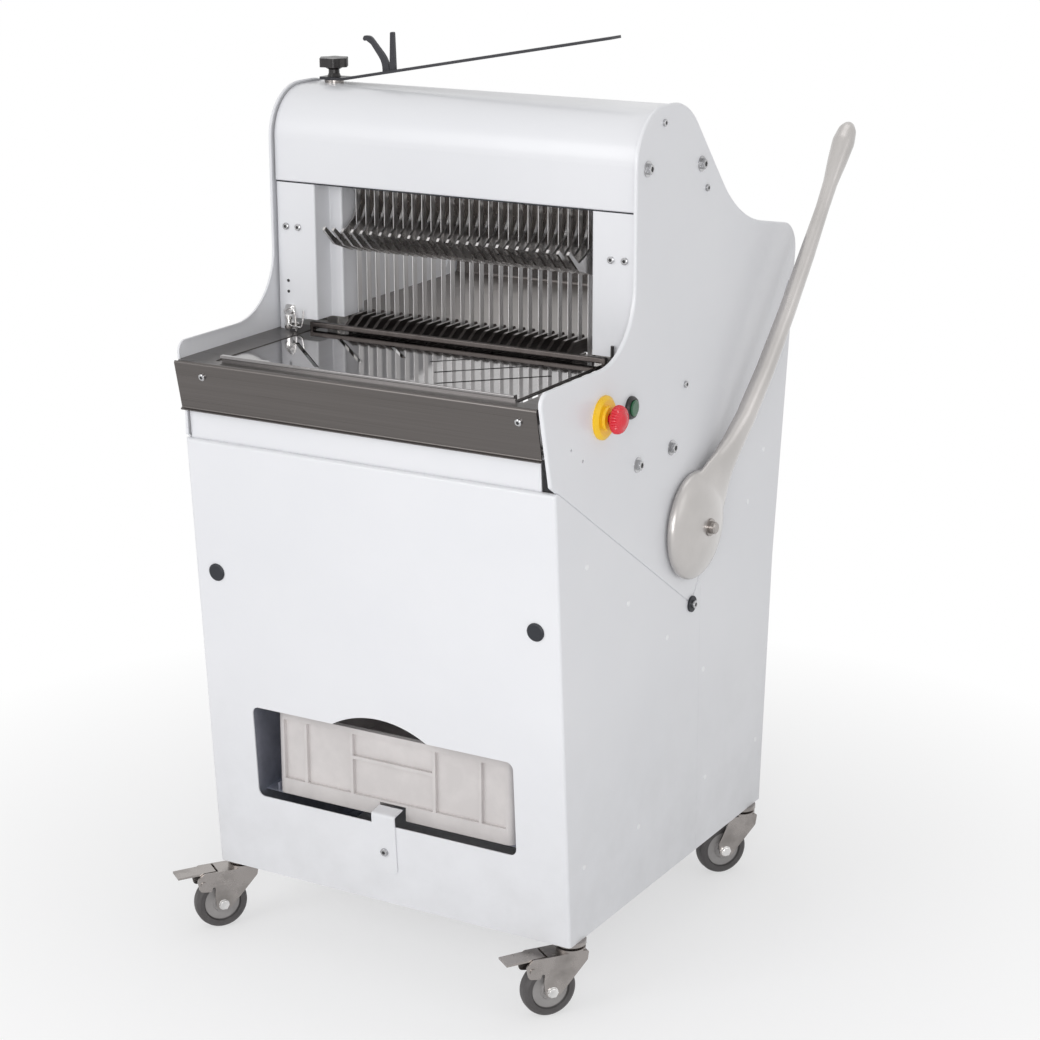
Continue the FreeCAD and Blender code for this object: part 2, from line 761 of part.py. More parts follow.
# Toothed bar at the tray's back edge: its teeth fill the gaps between the blades.
comb_bar = Piece("blade_comb")
bar_top = d.table_height - d.tray_thickness
comb_bar.pad("YZ", [rectangle(-d.tray_back - 8, bar_top - 5, 16, 10)], "d.frame_outer_width - 56")
tooth = comb_bar.pad("YZ", [[(-d.tray_back - 1, bar_top - 8), (-back_frame_place + 14, bar_top - 4),
                             (-back_frame_place + 14, bar_top), (-d.tray_back - 1, bar_top)]],
                     "d.slice_pitch - 6", "-d.slice_pitch * (d.blade_count - 2) / 2")
comb_bar.repeat(tooth, tooth.Profile[0], "d.slice_pitch * (d.blade_count - 2)", "d.blade_count - 1")
node(comb_bar.body)

# Apron screws and the clip's screw share a node with the jambs' screws.
apron_slope = (d.apron_reach - d.apron_foot_reach) / (d.table_height - d.apron_foot_height)
apron_tilt = math.degrees(math.atan(apron_slope))
apron_screw_z = d.table_height - 20
apron_screw_y = -d.apron_foot_reach - (apron_screw_z - d.apron_foot_height) * apron_slope
for sign in (-1, 1):
    cover_screws.append(rod("apron_screw_%d" % (sign + 1), "5", "2.5", str(sign * 254),
                            "%.5f" % apron_screw_y, "d.table_height - 20", forward(apron_tilt)))

# Small catch at the foot of the left jamb.
catch = Piece("tray_catch")
catch.pad("XZ", [rectangle(-274, top + 20, 16, 34, 3)], "3", "d.hood_face + 1.5")
catch.pad("XZ", [(-274, top + 28, 6)], "10", "d.hood_face + 5")
catch.pad("XZ", [[(-280, top + 3, 2), (-262, top + 3, 2), (-258, top + 12, 3), (-280, top + 12, 2)]],
          "8", "d.hood_face + 4")
node(catch.body)

# Outfeed tray behind the blades, with an upturned end.
outfeed = Piece("outfeed_sheet")
outfeed_path = [
    (-back_frame_place + 16, top),
    (d.back_corner_place - 16, top, 6),
    (d.back_corner_place - 12, top + 24),
]
outfeed.pad("YZ", [strip(outfeed_path, -d.tray_thickness)[::-1]], "2 * (d.machine_width / 2 - d.press_depth)")

# Guard across the head behind the blades, which leaves the loaf's height free and shares the tray's file.
guard = Piece("rear_guard")
guard_y = -10
guard_path = [(guard_y, d.hood_bottom - d.guard_drop), (guard_y, d.hood_bottom + 8, 4), (guard_y + 50, d.hood_bottom + 22)]
guard.pad("YZ", [strip(guard_path[::-1], d.skin)], "2 * (d.machine_width / 2 - d.skin)")
node(group("outfeed_tray", [outfeed.body, guard.body]))

# ---------------------------------------------------------------- blades and frames

frame_half = d.frame_outer_width / 2
stroke_room = d.crank_throw + 2


def blade_frame(name, place_y, y, yoke_x):
    """A rectangular frame with a slotted yoke below it; the crank's roller runs in the slot."""
    frame = Piece(name)
    middle_z = (d.frame_foot + d.frame_head) / 2
    tall = d.frame_head - d.frame_foot
    frame.pad("XZ", [rectangle(0, middle_z, d.frame_outer_width, tall, 6),
                     rectangle(0, middle_z, d.frame_outer_width - 2 * d.frame_side_width,
                               tall - 2 * d.frame_rail_height, 5)], "d.frame_bar", place_y)
    slot_reach = d.crank_throw + d.roller_radius + 1.5
    slot_half_height = d.roller_radius + d.yoke_slack
    low, high = d.crank_height - slot_half_height - 12, d.crank_height + slot_half_height + 12
    left, right = -d.crank_place - slot_reach - 9, -d.crank_place + slot_reach + 9
    neck = d.frame_bar / 2
    outline = [(left, low, 8), (right, low, 8), (right, high, 8), (y + neck, high + 8, 6),
               (y + neck, d.frame_foot + d.frame_rail_height), (y - neck, d.frame_foot + d.frame_rail_height),
               (y - neck, high + 8, 6), (left, high, 8)]
    slot = rectangle(-d.crank_place, d.crank_height, 2 * slot_reach, 2 * slot_half_height, 3)
    frame.pad("YZ", [outline, slot], "d.yoke_thickness", yoke_x)
    return node(frame.body)


def blade_row(name, first, front_edge):
    """Every second blade of the row, clamped on the inner face of one frame's bars."""
    blades = []
    for index in range(first, int(d.blade_count), 2):
        middle = "(%d - (d.blade_count - 1) / 2) * d.slice_pitch" % index
        blades.append(box("%s_%d" % (name, index), "d.blade_thickness", "d.blade_width",
                          "d.frame_head - d.frame_foot - 2 * d.blade_overhang",
                          middle + " - d.blade_thickness / 2", front_edge, "d.frame_foot + d.blade_overhang"))
    return node(group(name, blades))


blade_frame("blade_frame_front", "d.front_blade_place", -d.front_blade_place, "-d.yoke_spread / 2")
blade_row("front_blades", 0, "-d.front_blade_place + d.frame_bar / 2")
blade_frame("blade_frame_back", BACK_FRAME, -back_frame_place, "d.yoke_spread / 2")
blade_row("back_blades", 1, "-%s - d.frame_bar / 2 - d.blade_width" % BACK_FRAME)

# Guide posts: grooved uprights for the frames' edges, held off the side plates by two arms.
guide = Piece("guide_right")
post_inner = frame_half - 4
groove = d.frame_bar / 2 + d.guide_clearance
groove_end = frame_half + d.guide_clearance
post_outer = post_inner + d.guide_width
front_y, back_y = -d.front_blade_place, -back_frame_place
post_wall = 3
post_front, post_back = front_y - groove - post_wall, back_y + groove + post_wall
guide_path = [(post_inner, post_front), (post_outer, post_front), (post_outer, post_back),
              (post_inner, post_back), (post_inner, back_y + groove), (groove_end, back_y + groove),
              (groove_end, back_y - groove), (post_inner, back_y - groove), (post_inner, front_y + groove),
              (groove_end, front_y + groove), (groove_end, front_y - groove), (post_inner, front_y - groove)]
guide.pad("XY", [guide_path], "d.guide_head - d.guide_foot", "(d.guide_head + d.guide_foot) / 2")
arm_spots = [d.guide_foot + 8, d.guide_head - 8]
arm_reach = half - d.skin
guide.pad("XZ", [rectangle((post_outer + arm_reach) / 2 - 1, z, arm_reach - post_outer + 2, 16) for z in arm_spots],
          "24", "(d.front_blade_place + %s) / 2 + 4" % BACK_FRAME)
node(group("frame_guides", [guide.body, mirrored("guide_left", guide.body)]))

# ---------------------------------------------------------------- crank drive

crank_y, crank_z = "-d.crank_place", "d.crank_height"
shaft_parts = []
for sign, tag in ((-1, "front"), (1, "back")):
    yoke = "%d * d.yoke_spread / 2" % sign
    throw = "-d.crank_place - %d * d.crank_throw" % sign
    shaft_parts.append(rod("crank_pin_" + tag, "d.roller_radius", "d.roller_width + 12",
                           yoke + " - d.roller_width / 2 - 6", throw, crank_z))
    for end in (-1, 1):
        shaft_parts.append(rod("crank_web_%s_%d" % (tag, end + 1), "d.web_radius", "d.web_thickness",
                               yoke + " + %d * (d.roller_width / 2 + 5 + d.web_thickness / 2) - d.web_thickness / 2" % end,
                               crank_y, crank_z))
inner_web = "(d.yoke_spread / 2 - d.roller_width / 2 - 5)"
outer_web = "(d.yoke_spread / 2 + d.roller_width / 2 + 5)"
shaft_parts.append(rod("crank_middle", "d.shaft_radius", "2 * " + inner_web, "-" + inner_web, crank_y, crank_z))
shaft_parts.append(rod("crank_left", "d.shaft_radius", "d.left_bearing + 16 - " + outer_web,
                       "-d.left_bearing - 16", crank_y, crank_z))
shaft_parts.append(rod("crank_right", "d.shaft_radius", "d.right_bearing + 16 - " + outer_web, outer_web,
                       crank_y, crank_z))
node(fuse("crankshaft", shaft_parts))

def pulley(name, radius, bore, y, z):
    """A V-groove pulley about X."""
    wheel = Piece(name)
    wide = d.belt_width / 2 + 4
    seat = radius - d.belt_depth
    rim = d.belt_width / 2
    wheel.turn([[(-wide, bore), (wide, bore), (wide, radius + 2), (rim + 0.4, radius + 2), (rim - 1.2, seat),
                 (1.2 - rim, seat), (-rim - 0.4, radius + 2), (-wide, radius + 2)]])
    wheel.place("d.belt_plane", y, z)
    return node(wheel.body)


pulley("crank_pulley", d.crank_pulley_radius, d.shaft_radius, crank_y, crank_z)
motor_shaft = 9
pulley("motor_pulley", d.motor_pulley_radius, motor_shaft, "d.motor_place", "d.motor_height")

# Belt: closed loop round both pulleys, lying 0.3 mm off their grooves.


def loop(radius_one, radius_two):
    """Outline of a band round the crank's and the motor's centre, from its straight sides' tangents."""
    one = Vector(-d.crank_place, d.crank_height, 0)
    two = Vector(d.motor_place, d.motor_height, 0)
    run = two - one
    tilt = math.asin((radius_one - radius_two) / run.Length)
    base_angle = math.atan2(run.y, run.x)
    points = []
    for centre, radius, angles in ((one, radius_one, (1, 2, 3)), (two, radius_two, (3, 0, 1))):
        start = base_angle + math.pi / 2 - tilt
        end = base_angle - math.pi / 2 + tilt
        for which in angles:
            angle = {1: start, 2: base_angle + math.pi, 3: end, 0: base_angle}[which]
            spot = centre + Vector(math.cos(angle), math.sin(angle), 0) * radius
            points.append(Via(spot.x, spot.y) if which in (0, 2) else (spot.x, spot.y))
    return points


belt = Piece("drive_belt")
seat_gap = 0.3
belt_inner = (d.crank_pulley_radius - d.belt_depth + seat_gap, d.motor_pulley_radius - d.belt_depth + seat_gap)
belt.pad("YZ", [loop(belt_inner[0] + d.belt_depth, belt_inner[1] + d.belt_depth), loop(*belt_inner)],
         "d.belt_width - 4", "d.belt_plane")
node(belt.body)

# Bearing blocks on both sides of the pulley, each on a channel that stands in from the nearer wing.
channel_path = [(-d.crank_place - 40, d.beam_top - 30), (-d.crank_place - 40, d.beam_top, 4),
                (-d.crank_place + 40, d.beam_top, 4), (-d.crank_place + 40, d.beam_top - 30)]
ring = d.shaft_radius + 14
running = 0.05
block_path = [(-d.crank_place - 38, d.beam_top), (-d.crank_place + 38, d.beam_top),
              (-d.crank_place + 38, d.beam_top + 12, 4), (-d.crank_place + ring, d.beam_top + 16, 6),
              (-d.crank_place + ring, d.crank_height + ring, 20), (-d.crank_place - ring, d.crank_height + ring, 20),
              (-d.crank_place - ring, d.beam_top + 16, 6), (-d.crank_place - 38, d.beam_top + 12, 4)]
channels = []
blocks = []
for sign, tag in ((-1, "left"), (1, "right")):
    channel_end = "(d.%s_bearing - 20)" % tag
    wall_face = "(d.machine_width / 2 - d.skin)"
    beam = Piece("bearing_channel_" + tag)
    beam.pad("YZ", [strip(channel_path[::-1], 4)], "%s - %s" % (wall_face, channel_end),
             "%d * (%s + %s) / 2" % (sign, wall_face, channel_end))
    channels.append(beam.body)
    block = Piece("bearing_block_" + tag)
    block.pad("YZ", [block_path, (-d.crank_place, d.crank_height, d.shaft_radius + running)], "24",
              "%d * d.%s_bearing" % (sign, tag))
    blocks.append(block.body)
node(group("bearing_channels", channels))
node(group("crank_bearings", blocks))

# Motor: finned barrel with a fan cowl, feet and a shaft.
motor = Piece("motor")
motor_left = d.belt_plane - 30 - d.motor_length
barrel = d.motor_radius
fins = [(motor_left, 0), (motor_left, barrel - 8), (motor_left + 6, barrel - 2), (motor_left + 34, barrel - 2),
        (motor_left + 34, barrel - 7)]
fin_pitch = 14
for i in range(int((d.motor_length - 70) / fin_pitch)):
    start = motor_left + 42 + i * fin_pitch
    fins += [(start, barrel - 7), (start, barrel), (start + 5, barrel), (start + 5, barrel - 7)]
fins += [(motor_left + d.motor_length - 14, barrel - 7), (motor_left + d.motor_length - 14, barrel - 2),
         (motor_left + d.motor_length, barrel - 10), (motor_left + d.motor_length, motor_shaft - 0.05),
         (d.belt_plane - d.belt_width / 2 - 5, motor_shaft - 0.05), (d.belt_plane - d.belt_width / 2 - 5, 0)]
motor.turn([fins])
motor.place("0", "d.motor_place", "d.motor_height")
node(motor.body)
bracket = Piece("motor_bracket")
bracket_top = d.motor_height - d.motor_radius
bracket_path = [(d.motor_place - 60, d.base_height + d.floor_thickness), (d.motor_place - 60, bracket_top, 8),
                (d.motor_place + 60, bracket_top, 8), (d.motor_place + 60, d.base_height + d.floor_thickness)]
bracket.pad("YZ", [strip(bracket_path[::-1], 4)], "140", "d.belt_plane - 30 - d.motor_length / 2")
node(bracket.body)

# ---------------------------------------------------------------- feed lever and pusher

# Lever: domed hub that closes over the shaft's end, oval arm, swollen grip. Drawn upright, then leant back.
lever = Piece("feed_lever")
hub_x = half + d.hub_gap
hub_rim = 5
lever.turn([[(0, 0), (0, d.hub_radius - 3), (3, d.hub_radius), (hub_rim, d.hub_radius),
             Via(d.hub_rise * 0.72, d.hub_radius * 0.66), (d.hub_rise, 18), (d.hub_rise, 0)]])
arm_x = d.hub_rise - 12
grip = d.grip_radius
# Each row: how far along the arm, half thickness, half width, and how far out from the hub's middle plane.
sections = [
    (0, 10.5, 60, -6), (30, 10.3, 58, -6), (56, 9.2, 47, -7.6), (78, 10, 34, -7), (102, 11.3, 24.5, -4.5),
    (135, 11.5, 18, 1), (180, 11, 14.5, 8), (260, 10.5, 12.5, 14),
    (d.lever_length - 335, 10, 12, 17), (d.lever_length - 235, 9.5, 11.2, 17.5),
    (d.lever_length - 155, 9, 9.6, 17), (d.lever_length - 110, 10.5, 10.8, 16),
    (d.lever_length - 70, grip - 3, grip - 2.9, 14.5), (d.lever_length - 34, grip, grip, 14),
    (d.lever_length - 10, grip - 5, grip - 5, 14), (d.lever_length, 5, 5, 14),
]
profiles = []
for along, thick, wide, out in sections:
    outline = lever.sketch("XY", [], str(along))
    centre = Vector(arm_x + out, 0, 0)
    side_reach = Vector(0, max(wide, thick + 0.01), 0)
    outline.addGeometry(Part.Ellipse(centre + side_reach, centre + Vector(thick, 0, 0), centre), False)
    profiles.append(outline)
arm = lever.feature("AdditiveLoft", profiles[0])
arm.Sections = profiles[1:]
lean_back = Rotation(Vector(1, 0, 0), -d.lever_rest_angle)
lever.place("d.machine_width / 2 + d.hub_gap", "d.lever_place", "d.lever_height", lean_back)
node(lever.body)

lever_bolt = Piece("lever_bolt")
lever_bolt.turn([[(0, 0), (0, 13), (2, 13), (2, 9), (9, 9), (11, 7), (11, 0)]])
lever_bolt.place("d.machine_width / 2 + d.hub_gap + d.hub_rise", "d.lever_place", "d.lever_height")

# Shaft right through the machine, with a rocker arm near each end.
rocker_lean = d.lever_range / 2
shaft = rod("lever_rod", "d.shaft_radius", "d.machine_width + 2 * d.hub_gap", "-d.machine_width / 2 - d.hub_gap",
            "d.lever_place", "d.lever_height")
rockers = [shaft]
for sign in (-1, 1):
    rocker = Piece("rocker_%d" % (sign + 1))
    wide = 15
    outline = [(-wide - 8, 0), Via(0, -wide - 8), (wide + 8, 0), (wide - 3, d.rocker_length),
               Via(0, d.rocker_length + wide - 3), (3 - wide, d.rocker_length)]
    rocker.pad("YZ", [outline], "d.rocker_thickness", "%d * d.rocker_plane" % sign)
    inward = "%d * (d.rocker_plane + d.rocker_thickness / 2 + d.carriage_plane) / 2" % sign
    rocker.pad("YZ", [(0, d.rocker_length, d.follower_radius / 2)],
               "d.rocker_plane + d.rocker_thickness / 2 - d.carriage_plane", inward)
    rocker.pad("YZ", [(0, d.rocker_length, d.follower_radius)], "d.carriage_plate + 1",
               "%d * (d.carriage_plane + d.carriage_plate / 2)" % sign)
    rocker.place("0", "d.lever_place", "d.lever_height", Rotation(Vector(1, 0, 0), -rocker_lean))
    rockers.append(rocker.body)
node(group("lever_shaft", [fuse("lever_rod_and_rockers", rockers), lever_bolt.body]))

bushes = []
for sign, tag in ((-1, "left"), (1, "right")):
    bush = Piece("bush_" + tag)
    bore = d.shaft_radius + 0.05
    bush.turn([[(-8, bore), (2.4, bore), (2.4, bush_outer + 6), (0, bush_outer + 6), (0, bush_outer),
                (-8, bush_outer)]])
    bush.place("%d * d.machine_width / 2" % sign, "d.lever_place", "d.lever_height",
               Rotation(Vector(0, 0, 1), 0 if sign > 0 else 180))
    bushes.append(bush.body)
node(group("lever_bushes", bushes))

# Carriage: a bar on each side with a slotted plate for the rocker's follower, and an upright for the comb.
carriage = Piece("carriage_right")
carriage_inner = d.carriage_plane
bar_high = top - d.tray_thickness - d.rail_wall - d.rail_gap
bar_low = bar_high - d.carriage_bar_height
follower_y = d.lever_place + d.pusher_travel / 2
follower_low = d.lever_height + d.rocker_length * math.cos(math.radians(rocker_lean))
slot_half_width = d.follower_radius + d.follower_slack
yoke_foot = follower_low - d.follower_radius - 16
pusher_y = -d.pusher_rest
bar_back = follower_y + 32
carriage.pad("YZ", [[(pusher_y, bar_low, 2), (bar_back, bar_low, 2), (bar_back, bar_high, 2), (pusher_y, bar_high, 2)]],
             "d.carriage_bar_width", "d.carriage_plane + d.carriage_bar_width / 2")
pusher_top = top + d.tray_thickness + d.pusher_lift + d.pusher_bar
carriage.pad("YZ", [[(pusher_y, bar_low + 4), (pusher_y + d.pusher_bar, bar_low + 4),
                     (pusher_y + d.pusher_bar, pusher_top), (pusher_y, pusher_top)]],
             "d.carriage_plate", "d.carriage_plane + d.carriage_plate / 2")
plate_half = slot_half_width + 16
carriage.pad("YZ", [[(follower_y - plate_half, yoke_foot, 6), (follower_y + plate_half, yoke_foot, 6),
                     (follower_y + plate_half, bar_low + 4), (follower_y - plate_half, bar_low + 4)]],
             "d.carriage_plate", "d.carriage_plane + d.carriage_plate / 2")
slot_low = follower_low - d.follower_radius - 4
slot_high = d.lever_height + d.rocker_length + d.follower_radius + 4
carriage.pocket("YZ", [rectangle(follower_y, (slot_low + slot_high) / 2, 2 * slot_half_width, slot_high - slot_low, 4)],
                "4 * d.carriage_plate", "d.carriage_plane")
node(group("pusher_carriage", [carriage.body, mirrored("carriage_left", carriage.body)]))

# Pusher comb: low bar across the table and a fin in each gap between the blades.
pusher = Piece("pusher_comb")
bar_bottom = top + d.tray_thickness + d.pusher_lift
pusher.pad("YZ", [[(pusher_y, bar_bottom, 2), (pusher_y + d.pusher_bar, bar_bottom, 2),
                   (pusher_y + d.pusher_bar, pusher_top, 2), (pusher_y, pusher_top, 2)]],
           "2 * d.carriage_plane")
fin_back = pusher_y + d.pusher_bar + d.fin_depth
fin_outline = [(pusher_y + 2, bar_bottom + 1), (fin_back, bar_bottom + 1, 4),
               (fin_back, bar_bottom + d.fin_height, 5),
               (pusher_y + d.pusher_bar + 16, bar_bottom + d.fin_height, 10), (pusher_y + 2, pusher_top - 1)]
fin = pusher.pad("YZ", [fin_outline], "d.fin_thickness", "-d.slice_pitch * (d.blade_count - 2) / 2")
pusher.repeat(fin, fin.Profile[0], "d.slice_pitch * (d.blade_count - 2)", "d.blade_count - 1")
node(pusher.body)

# Rails: an inverted channel along each side plate, with a lower lip under the bar.
rail_piece = Piece("carriage_rail_right")
gap, wall = d.rail_gap, d.rail_wall
bar_outer = d.carriage_plane + d.carriage_bar_width
lip_inner = d.carriage_plane + d.carriage_plate + 0.6
channel = [(lip_inner, bar_low - gap - wall), (bar_outer + gap + wall, bar_low - gap - wall),
           (bar_outer + gap + wall, bar_high + gap), (half - d.skin, bar_high + gap),
           (half - d.skin, bar_high + gap + wall), (lip_inner, bar_high + gap + wall),
           (lip_inner, bar_high + gap), (bar_outer + gap, bar_high + gap),
           (bar_outer + gap, bar_low - gap), (lip_inner, bar_low - gap)]
rail_front = d.pusher_rest + d.pusher_travel + 6
rail_piece.pad("XZ", [channel], "%s" % (rail_front + bar_back + 6), "%s" % ((rail_front - bar_back - 6) / 2))
node(group("carriage_rails", [rail_piece.body, mirrored("carriage_rail_left", rail_piece.body)]))

# ---------------------------------------------------------------- hold-down comb

comb = Piece("hold_down_comb")
comb_half = (d.frame_outer_width - 2 * d.frame_side_width) / 2 - 6
comb.pad("YZ", [(-d.comb_shaft_place, d.comb_shaft_height, d.comb_shaft_radius)], "%s" % (2 * comb_half))
comb.pad("YZ", [(-d.comb_shaft_place, d.comb_shaft_height, d.comb_shaft_radius - 3)],
         "2 * (d.machine_width / 2 - d.skin)")
# Each finger is a plate: an S-shaped front edge, a turned-up tip and a heel between the blades.
c, h = -d.comb_shaft_place, d.comb_shaft_height
finger_outline = [(c - 6, h), (c - 18, h - 48, 14), (c - 34, h - 77, 18), (c - 59, h - 92, 20), (c - 82, h - 100.5, 6),
                  (c - 107, h - 80), (c - 111, h - 84), (c - 84, h - 109, 8), (c - 42, h - 124, 10),
                  (c - 16, h - 122, 8), (c - 6, h - 68, 30), (c + 6, h)]
finger = comb.pad("YZ", [finger_outline], "d.finger_thickness", "-d.slice_pitch * d.blade_count / 2")
comb.repeat(finger, finger.Profile[0], "d.slice_pitch * d.blade_count", "d.blade_count + 1")
node(comb.body)

# ---------------------------------------------------------------- controls

face_x = "d.machine_width / 2"


def turned(name, outline, x, y, z):
    """A round piece about X."""
    piece = Piece(name)
    piece.turn([outline])
    piece.place(x, y, z)
    return node(piece.body)


stem_gap = 0.3
collar_bore = d.stem_radius + stem_gap
stop = d.stop_collar_radius
turned("stop_collar", [(-6, collar_bore), (-6, d.stem_radius + 3), (0, d.stem_radius + 3), (0, stop), (3, stop),
                       (7, stop - 5), (7.5, stop - 13), (11, stop - 14), (11, collar_bore)],
       face_x, "-d.stop_place", "d.stop_height")
turned("stop_button", [(-7, 0), (-7, d.stem_radius), (16, d.stem_radius), (17, 13), (19, 19), (24, 20), (30, 18),
                       (34, 13), (36, 6), (36, 0)], face_x, "-d.stop_place", "d.stop_height")
start = d.start_collar_radius
turned("start_collar", [(-6, collar_bore), (-6, d.stem_radius + 3), (0, d.stem_radius + 3), (0, start), (3, start),
                        (6, start - 2), (6, 11.6), (2, 11.6), (2, collar_bore)], face_x, "-d.start_place",
       "d.start_height")
turned("start_button", [(-7, 0), (-7, d.stem_radius), (4.6, d.stem_radius), (4.6, 11.2), (7.5, 11.2), (8.5, 9),
                        (8.5, 0)], face_x, "-d.start_place", "d.start_height")

# ---------------------------------------------------------------- bag arm

# Pivot boss on the hood; the arm is a flat bar that rises from its foot; two prongs stand on it.
pivot_x = "-d.bag_pivot_spread"
boss = rod("bag_boss", "14", "4", pivot_x, "-d.bag_pivot_place", "d.hood_top", Rotation())
boss_pin = rod("bag_pin", "5", "22", pivot_x, "-d.bag_pivot_place", "d.hood_top", Rotation())
node(fuse("bag_pivot", [boss, boss_pin]))
arm_piece = Piece("bag_arm")
foot_z = d.hood_top + 4.3
tilt = math.tan(math.radians(d.bag_arm_rise_angle))
arm_left = -d.bag_pivot_spread - 17
bend_x = -d.bag_pivot_spread + 22
arm_end = 205
arm_path = [(arm_left, foot_z), (bend_x, foot_z, 40), (arm_end, foot_z + (arm_end - bend_x) * tilt)]
arm_piece.pad("XZ", [strip(arm_path, d.bag_arm_thickness)], "d.bag_arm_width", "d.bag_pivot_place")
arm_piece.pocket("XY", [(-d.bag_pivot_spread, -d.bag_pivot_place, 5.1)], "30", "d.hood_top + 6")
hook_x = -170
hook_foot = foot_z + (hook_x - bend_x) * tilt
hook = [(hook_x - 6, hook_foot), (hook_x + 6, hook_foot + 2), (hook_x + 4, hook_foot + 20, 40),
        (hook_x - 26, hook_foot + 53, 12), (hook_x - 37, hook_foot + 53, 4), (hook_x - 41, hook_foot + 44, 3),
        (hook_x - 33, hook_foot + 46, 3), (hook_x - 25, hook_foot + 41, 8), (hook_x - 6, hook_foot + 16, 30)]
arm_piece.pad("XZ", [hook], "d.prong_thickness", "d.bag_pivot_place")
prong_x = hook_x + 11
prong_foot = foot_z + (prong_x - bend_x) * tilt
prong = [(prong_x - 5, prong_foot), (prong_x + 5, prong_foot + 1), (prong_x + 3, prong_foot + 58, 2),
         (prong_x - 3, prong_foot + 58, 2)]
arm_piece.pad("XZ", [prong], "d.prong_thickness", "d.bag_pivot_place")
node(arm_piece.body)

# Star knob: six lobes on a conical stem, screwed on the pivot's pin.
knob = Piece("star_knob")
lobes = []
lobe_count = 6
for i in range(lobe_count * 2):
    angle = math.pi * i / lobe_count
    reach = 25 if i % 2 == 0 else 18
    lobes.append((reach * math.cos(angle), reach * math.sin(angle), 5.5))
knob.turn([[(5.2, 0), (10, 0), (8, 5), (8, 10), (15, 14), (15, 18), (5.2, 18)]], "V_Axis")
knob.pad("XY", [lobes], "13", "20.5")
knob.place(pivot_x, "-d.bag_pivot_place", "d.hood_top + 8.6")
node(knob.body)

# ---------------------------------------------------------------- crumb crate and its clip

crate = Piece("crumb_crate")
crate_middle = -d.crate_front + d.crate_depth / 2
crate.pad("XY", [rectangle(0, crate_middle, d.crate_width, d.crate_depth, 12)], "d.crate_tall",
          "d.crate_foot + d.crate_tall / 2")
crate.pocket("XY", [rectangle(0, crate_middle, d.crate_width - 12 - 2 * d.crate_wall,
                              d.crate_depth - 12 - 2 * d.crate_wall, 8)], "d.crate_tall",
             "d.crate_foot + d.crate_channel_height + d.crate_wall + d.crate_tall / 2")
crate.pocket("XZ", [rectangle(0, d.crate_foot, d.crate_channel_width, 2 * d.crate_channel_height)],
             "2 * d.crate_depth", "0")
# Panels sunk between the ribs on all four sides leave ribs, rim and foot band standing.
rib = 5
panel_low, panel_high = d.crate_foot + d.crate_channel_height + 3, d.crate_foot + d.crate_tall - 9
split = d.crate_foot + 78


def between_ribs(ribs, half_side, middle):
    """Panels of one side, from rib to rib; the one across the middle is split by a level rib."""
    limits = [middle - half_side + 10] + ribs + [middle + half_side - 10]
    panels = []
    for low, high in zip(limits[:-1], limits[1:]):
        a, b = low + rib / 2, high - rib / 2
        if low < middle < high:
            panels.append([(a, panel_low), (b, panel_low), (b, split), (a, split)])
            panels.append([(a, split + rib), (b, split + rib), (b, panel_high), (a, panel_high)])
        else:
            panels.append([(a, panel_low), (b, panel_low), (b, panel_high), (a, panel_high)])
    return panels


sunk = "12"
long_side = between_ribs([-150, -70, 70, 146], d.crate_width / 2, 0)
for face_y in (d.crate_front, d.crate_front - d.crate_depth):
    crate.pocket("XZ", long_side, sunk, str(face_y))
short_side = between_ribs([crate_middle + y for y in (-75, 75)], d.crate_depth / 2, crate_middle)
for face_x in (-d.crate_width / 2, d.crate_width / 2):
    crate.pocket("YZ", short_side, sunk, str(face_x))
node(crate.body)

# Runners: a sheet wall beside the window on each side, with a ledge and a guide lip for the crate.
runner = Piece("runner_right")
runner_wall = window_half + 6
runner_inner = d.crate_width / 2 - 14
guide_lip = d.crate_width / 2 + 1.5
crate_seat = d.crate_foot - 0.3
runner_top = d.window_head + 4
floor_top = d.base_height + d.floor_thickness
runner_path = [(runner_wall - 16, floor_top), (runner_wall + d.skin, floor_top), (runner_wall + d.skin, runner_top),
               (runner_wall, runner_top), (runner_wall, crate_seat), (guide_lip + d.skin, crate_seat),
               (guide_lip + d.skin, crate_seat + 12), (guide_lip, crate_seat + 12), (guide_lip, crate_seat),
               (runner_inner, crate_seat), (runner_inner, crate_seat - d.skin), (runner_wall, crate_seat - d.skin),
               (runner_wall, floor_top + d.skin), (runner_wall - 16, floor_top + d.skin)]
runner.pad("XZ", [runner_path], "d.crate_depth", "d.crate_front - d.crate_depth / 2 - 4")
wall_back = -d.crate_front + 6
panel_gap = d.skin + 0.5
wall_foot = d.base_height + d.floor_flange + 1
wall_front = [(wall_back, wall_foot), (wall_back, runner_top), (front_at(runner_top) + panel_gap, runner_top),
              (front_at(wall_foot) + panel_gap, wall_foot)]
runner.pad("YZ", [wall_front], "d.skin", "%s" % (runner_wall + d.skin / 2))
node(group("crate_runners", [runner.body, mirrored("runner_left", runner.body)]))

# Clip: a plate screwed fast on the panel, its top bent back over the sill as a stop in front of the crate.
clip = Piece("crate_clip")
sill_face = front_at(d.clip_top)
foot_face = front_at(d.clip_bottom)
clip_gap = 0.4
clip_path = [(foot_face - clip_gap, d.clip_bottom), (sill_face - clip_gap, d.clip_top, 3),
             (sill_face + d.clip_lip, d.clip_top + 3.5)]
clip.pad("YZ", [strip(clip_path, d.skin)], "d.clip_width")
clip.pocket("XZ", [(0, d.clip_screw_height, 3.2)], "d.base_depth / 4", "d.base_depth / 2")


def is_foot_corner(edge):
    """The two short edges through the sheet at the clip's lower corners."""
    box_of = edge.BoundBox
    return box_of.XLength < 0.01 and box_of.ZMax < d.clip_bottom + 1


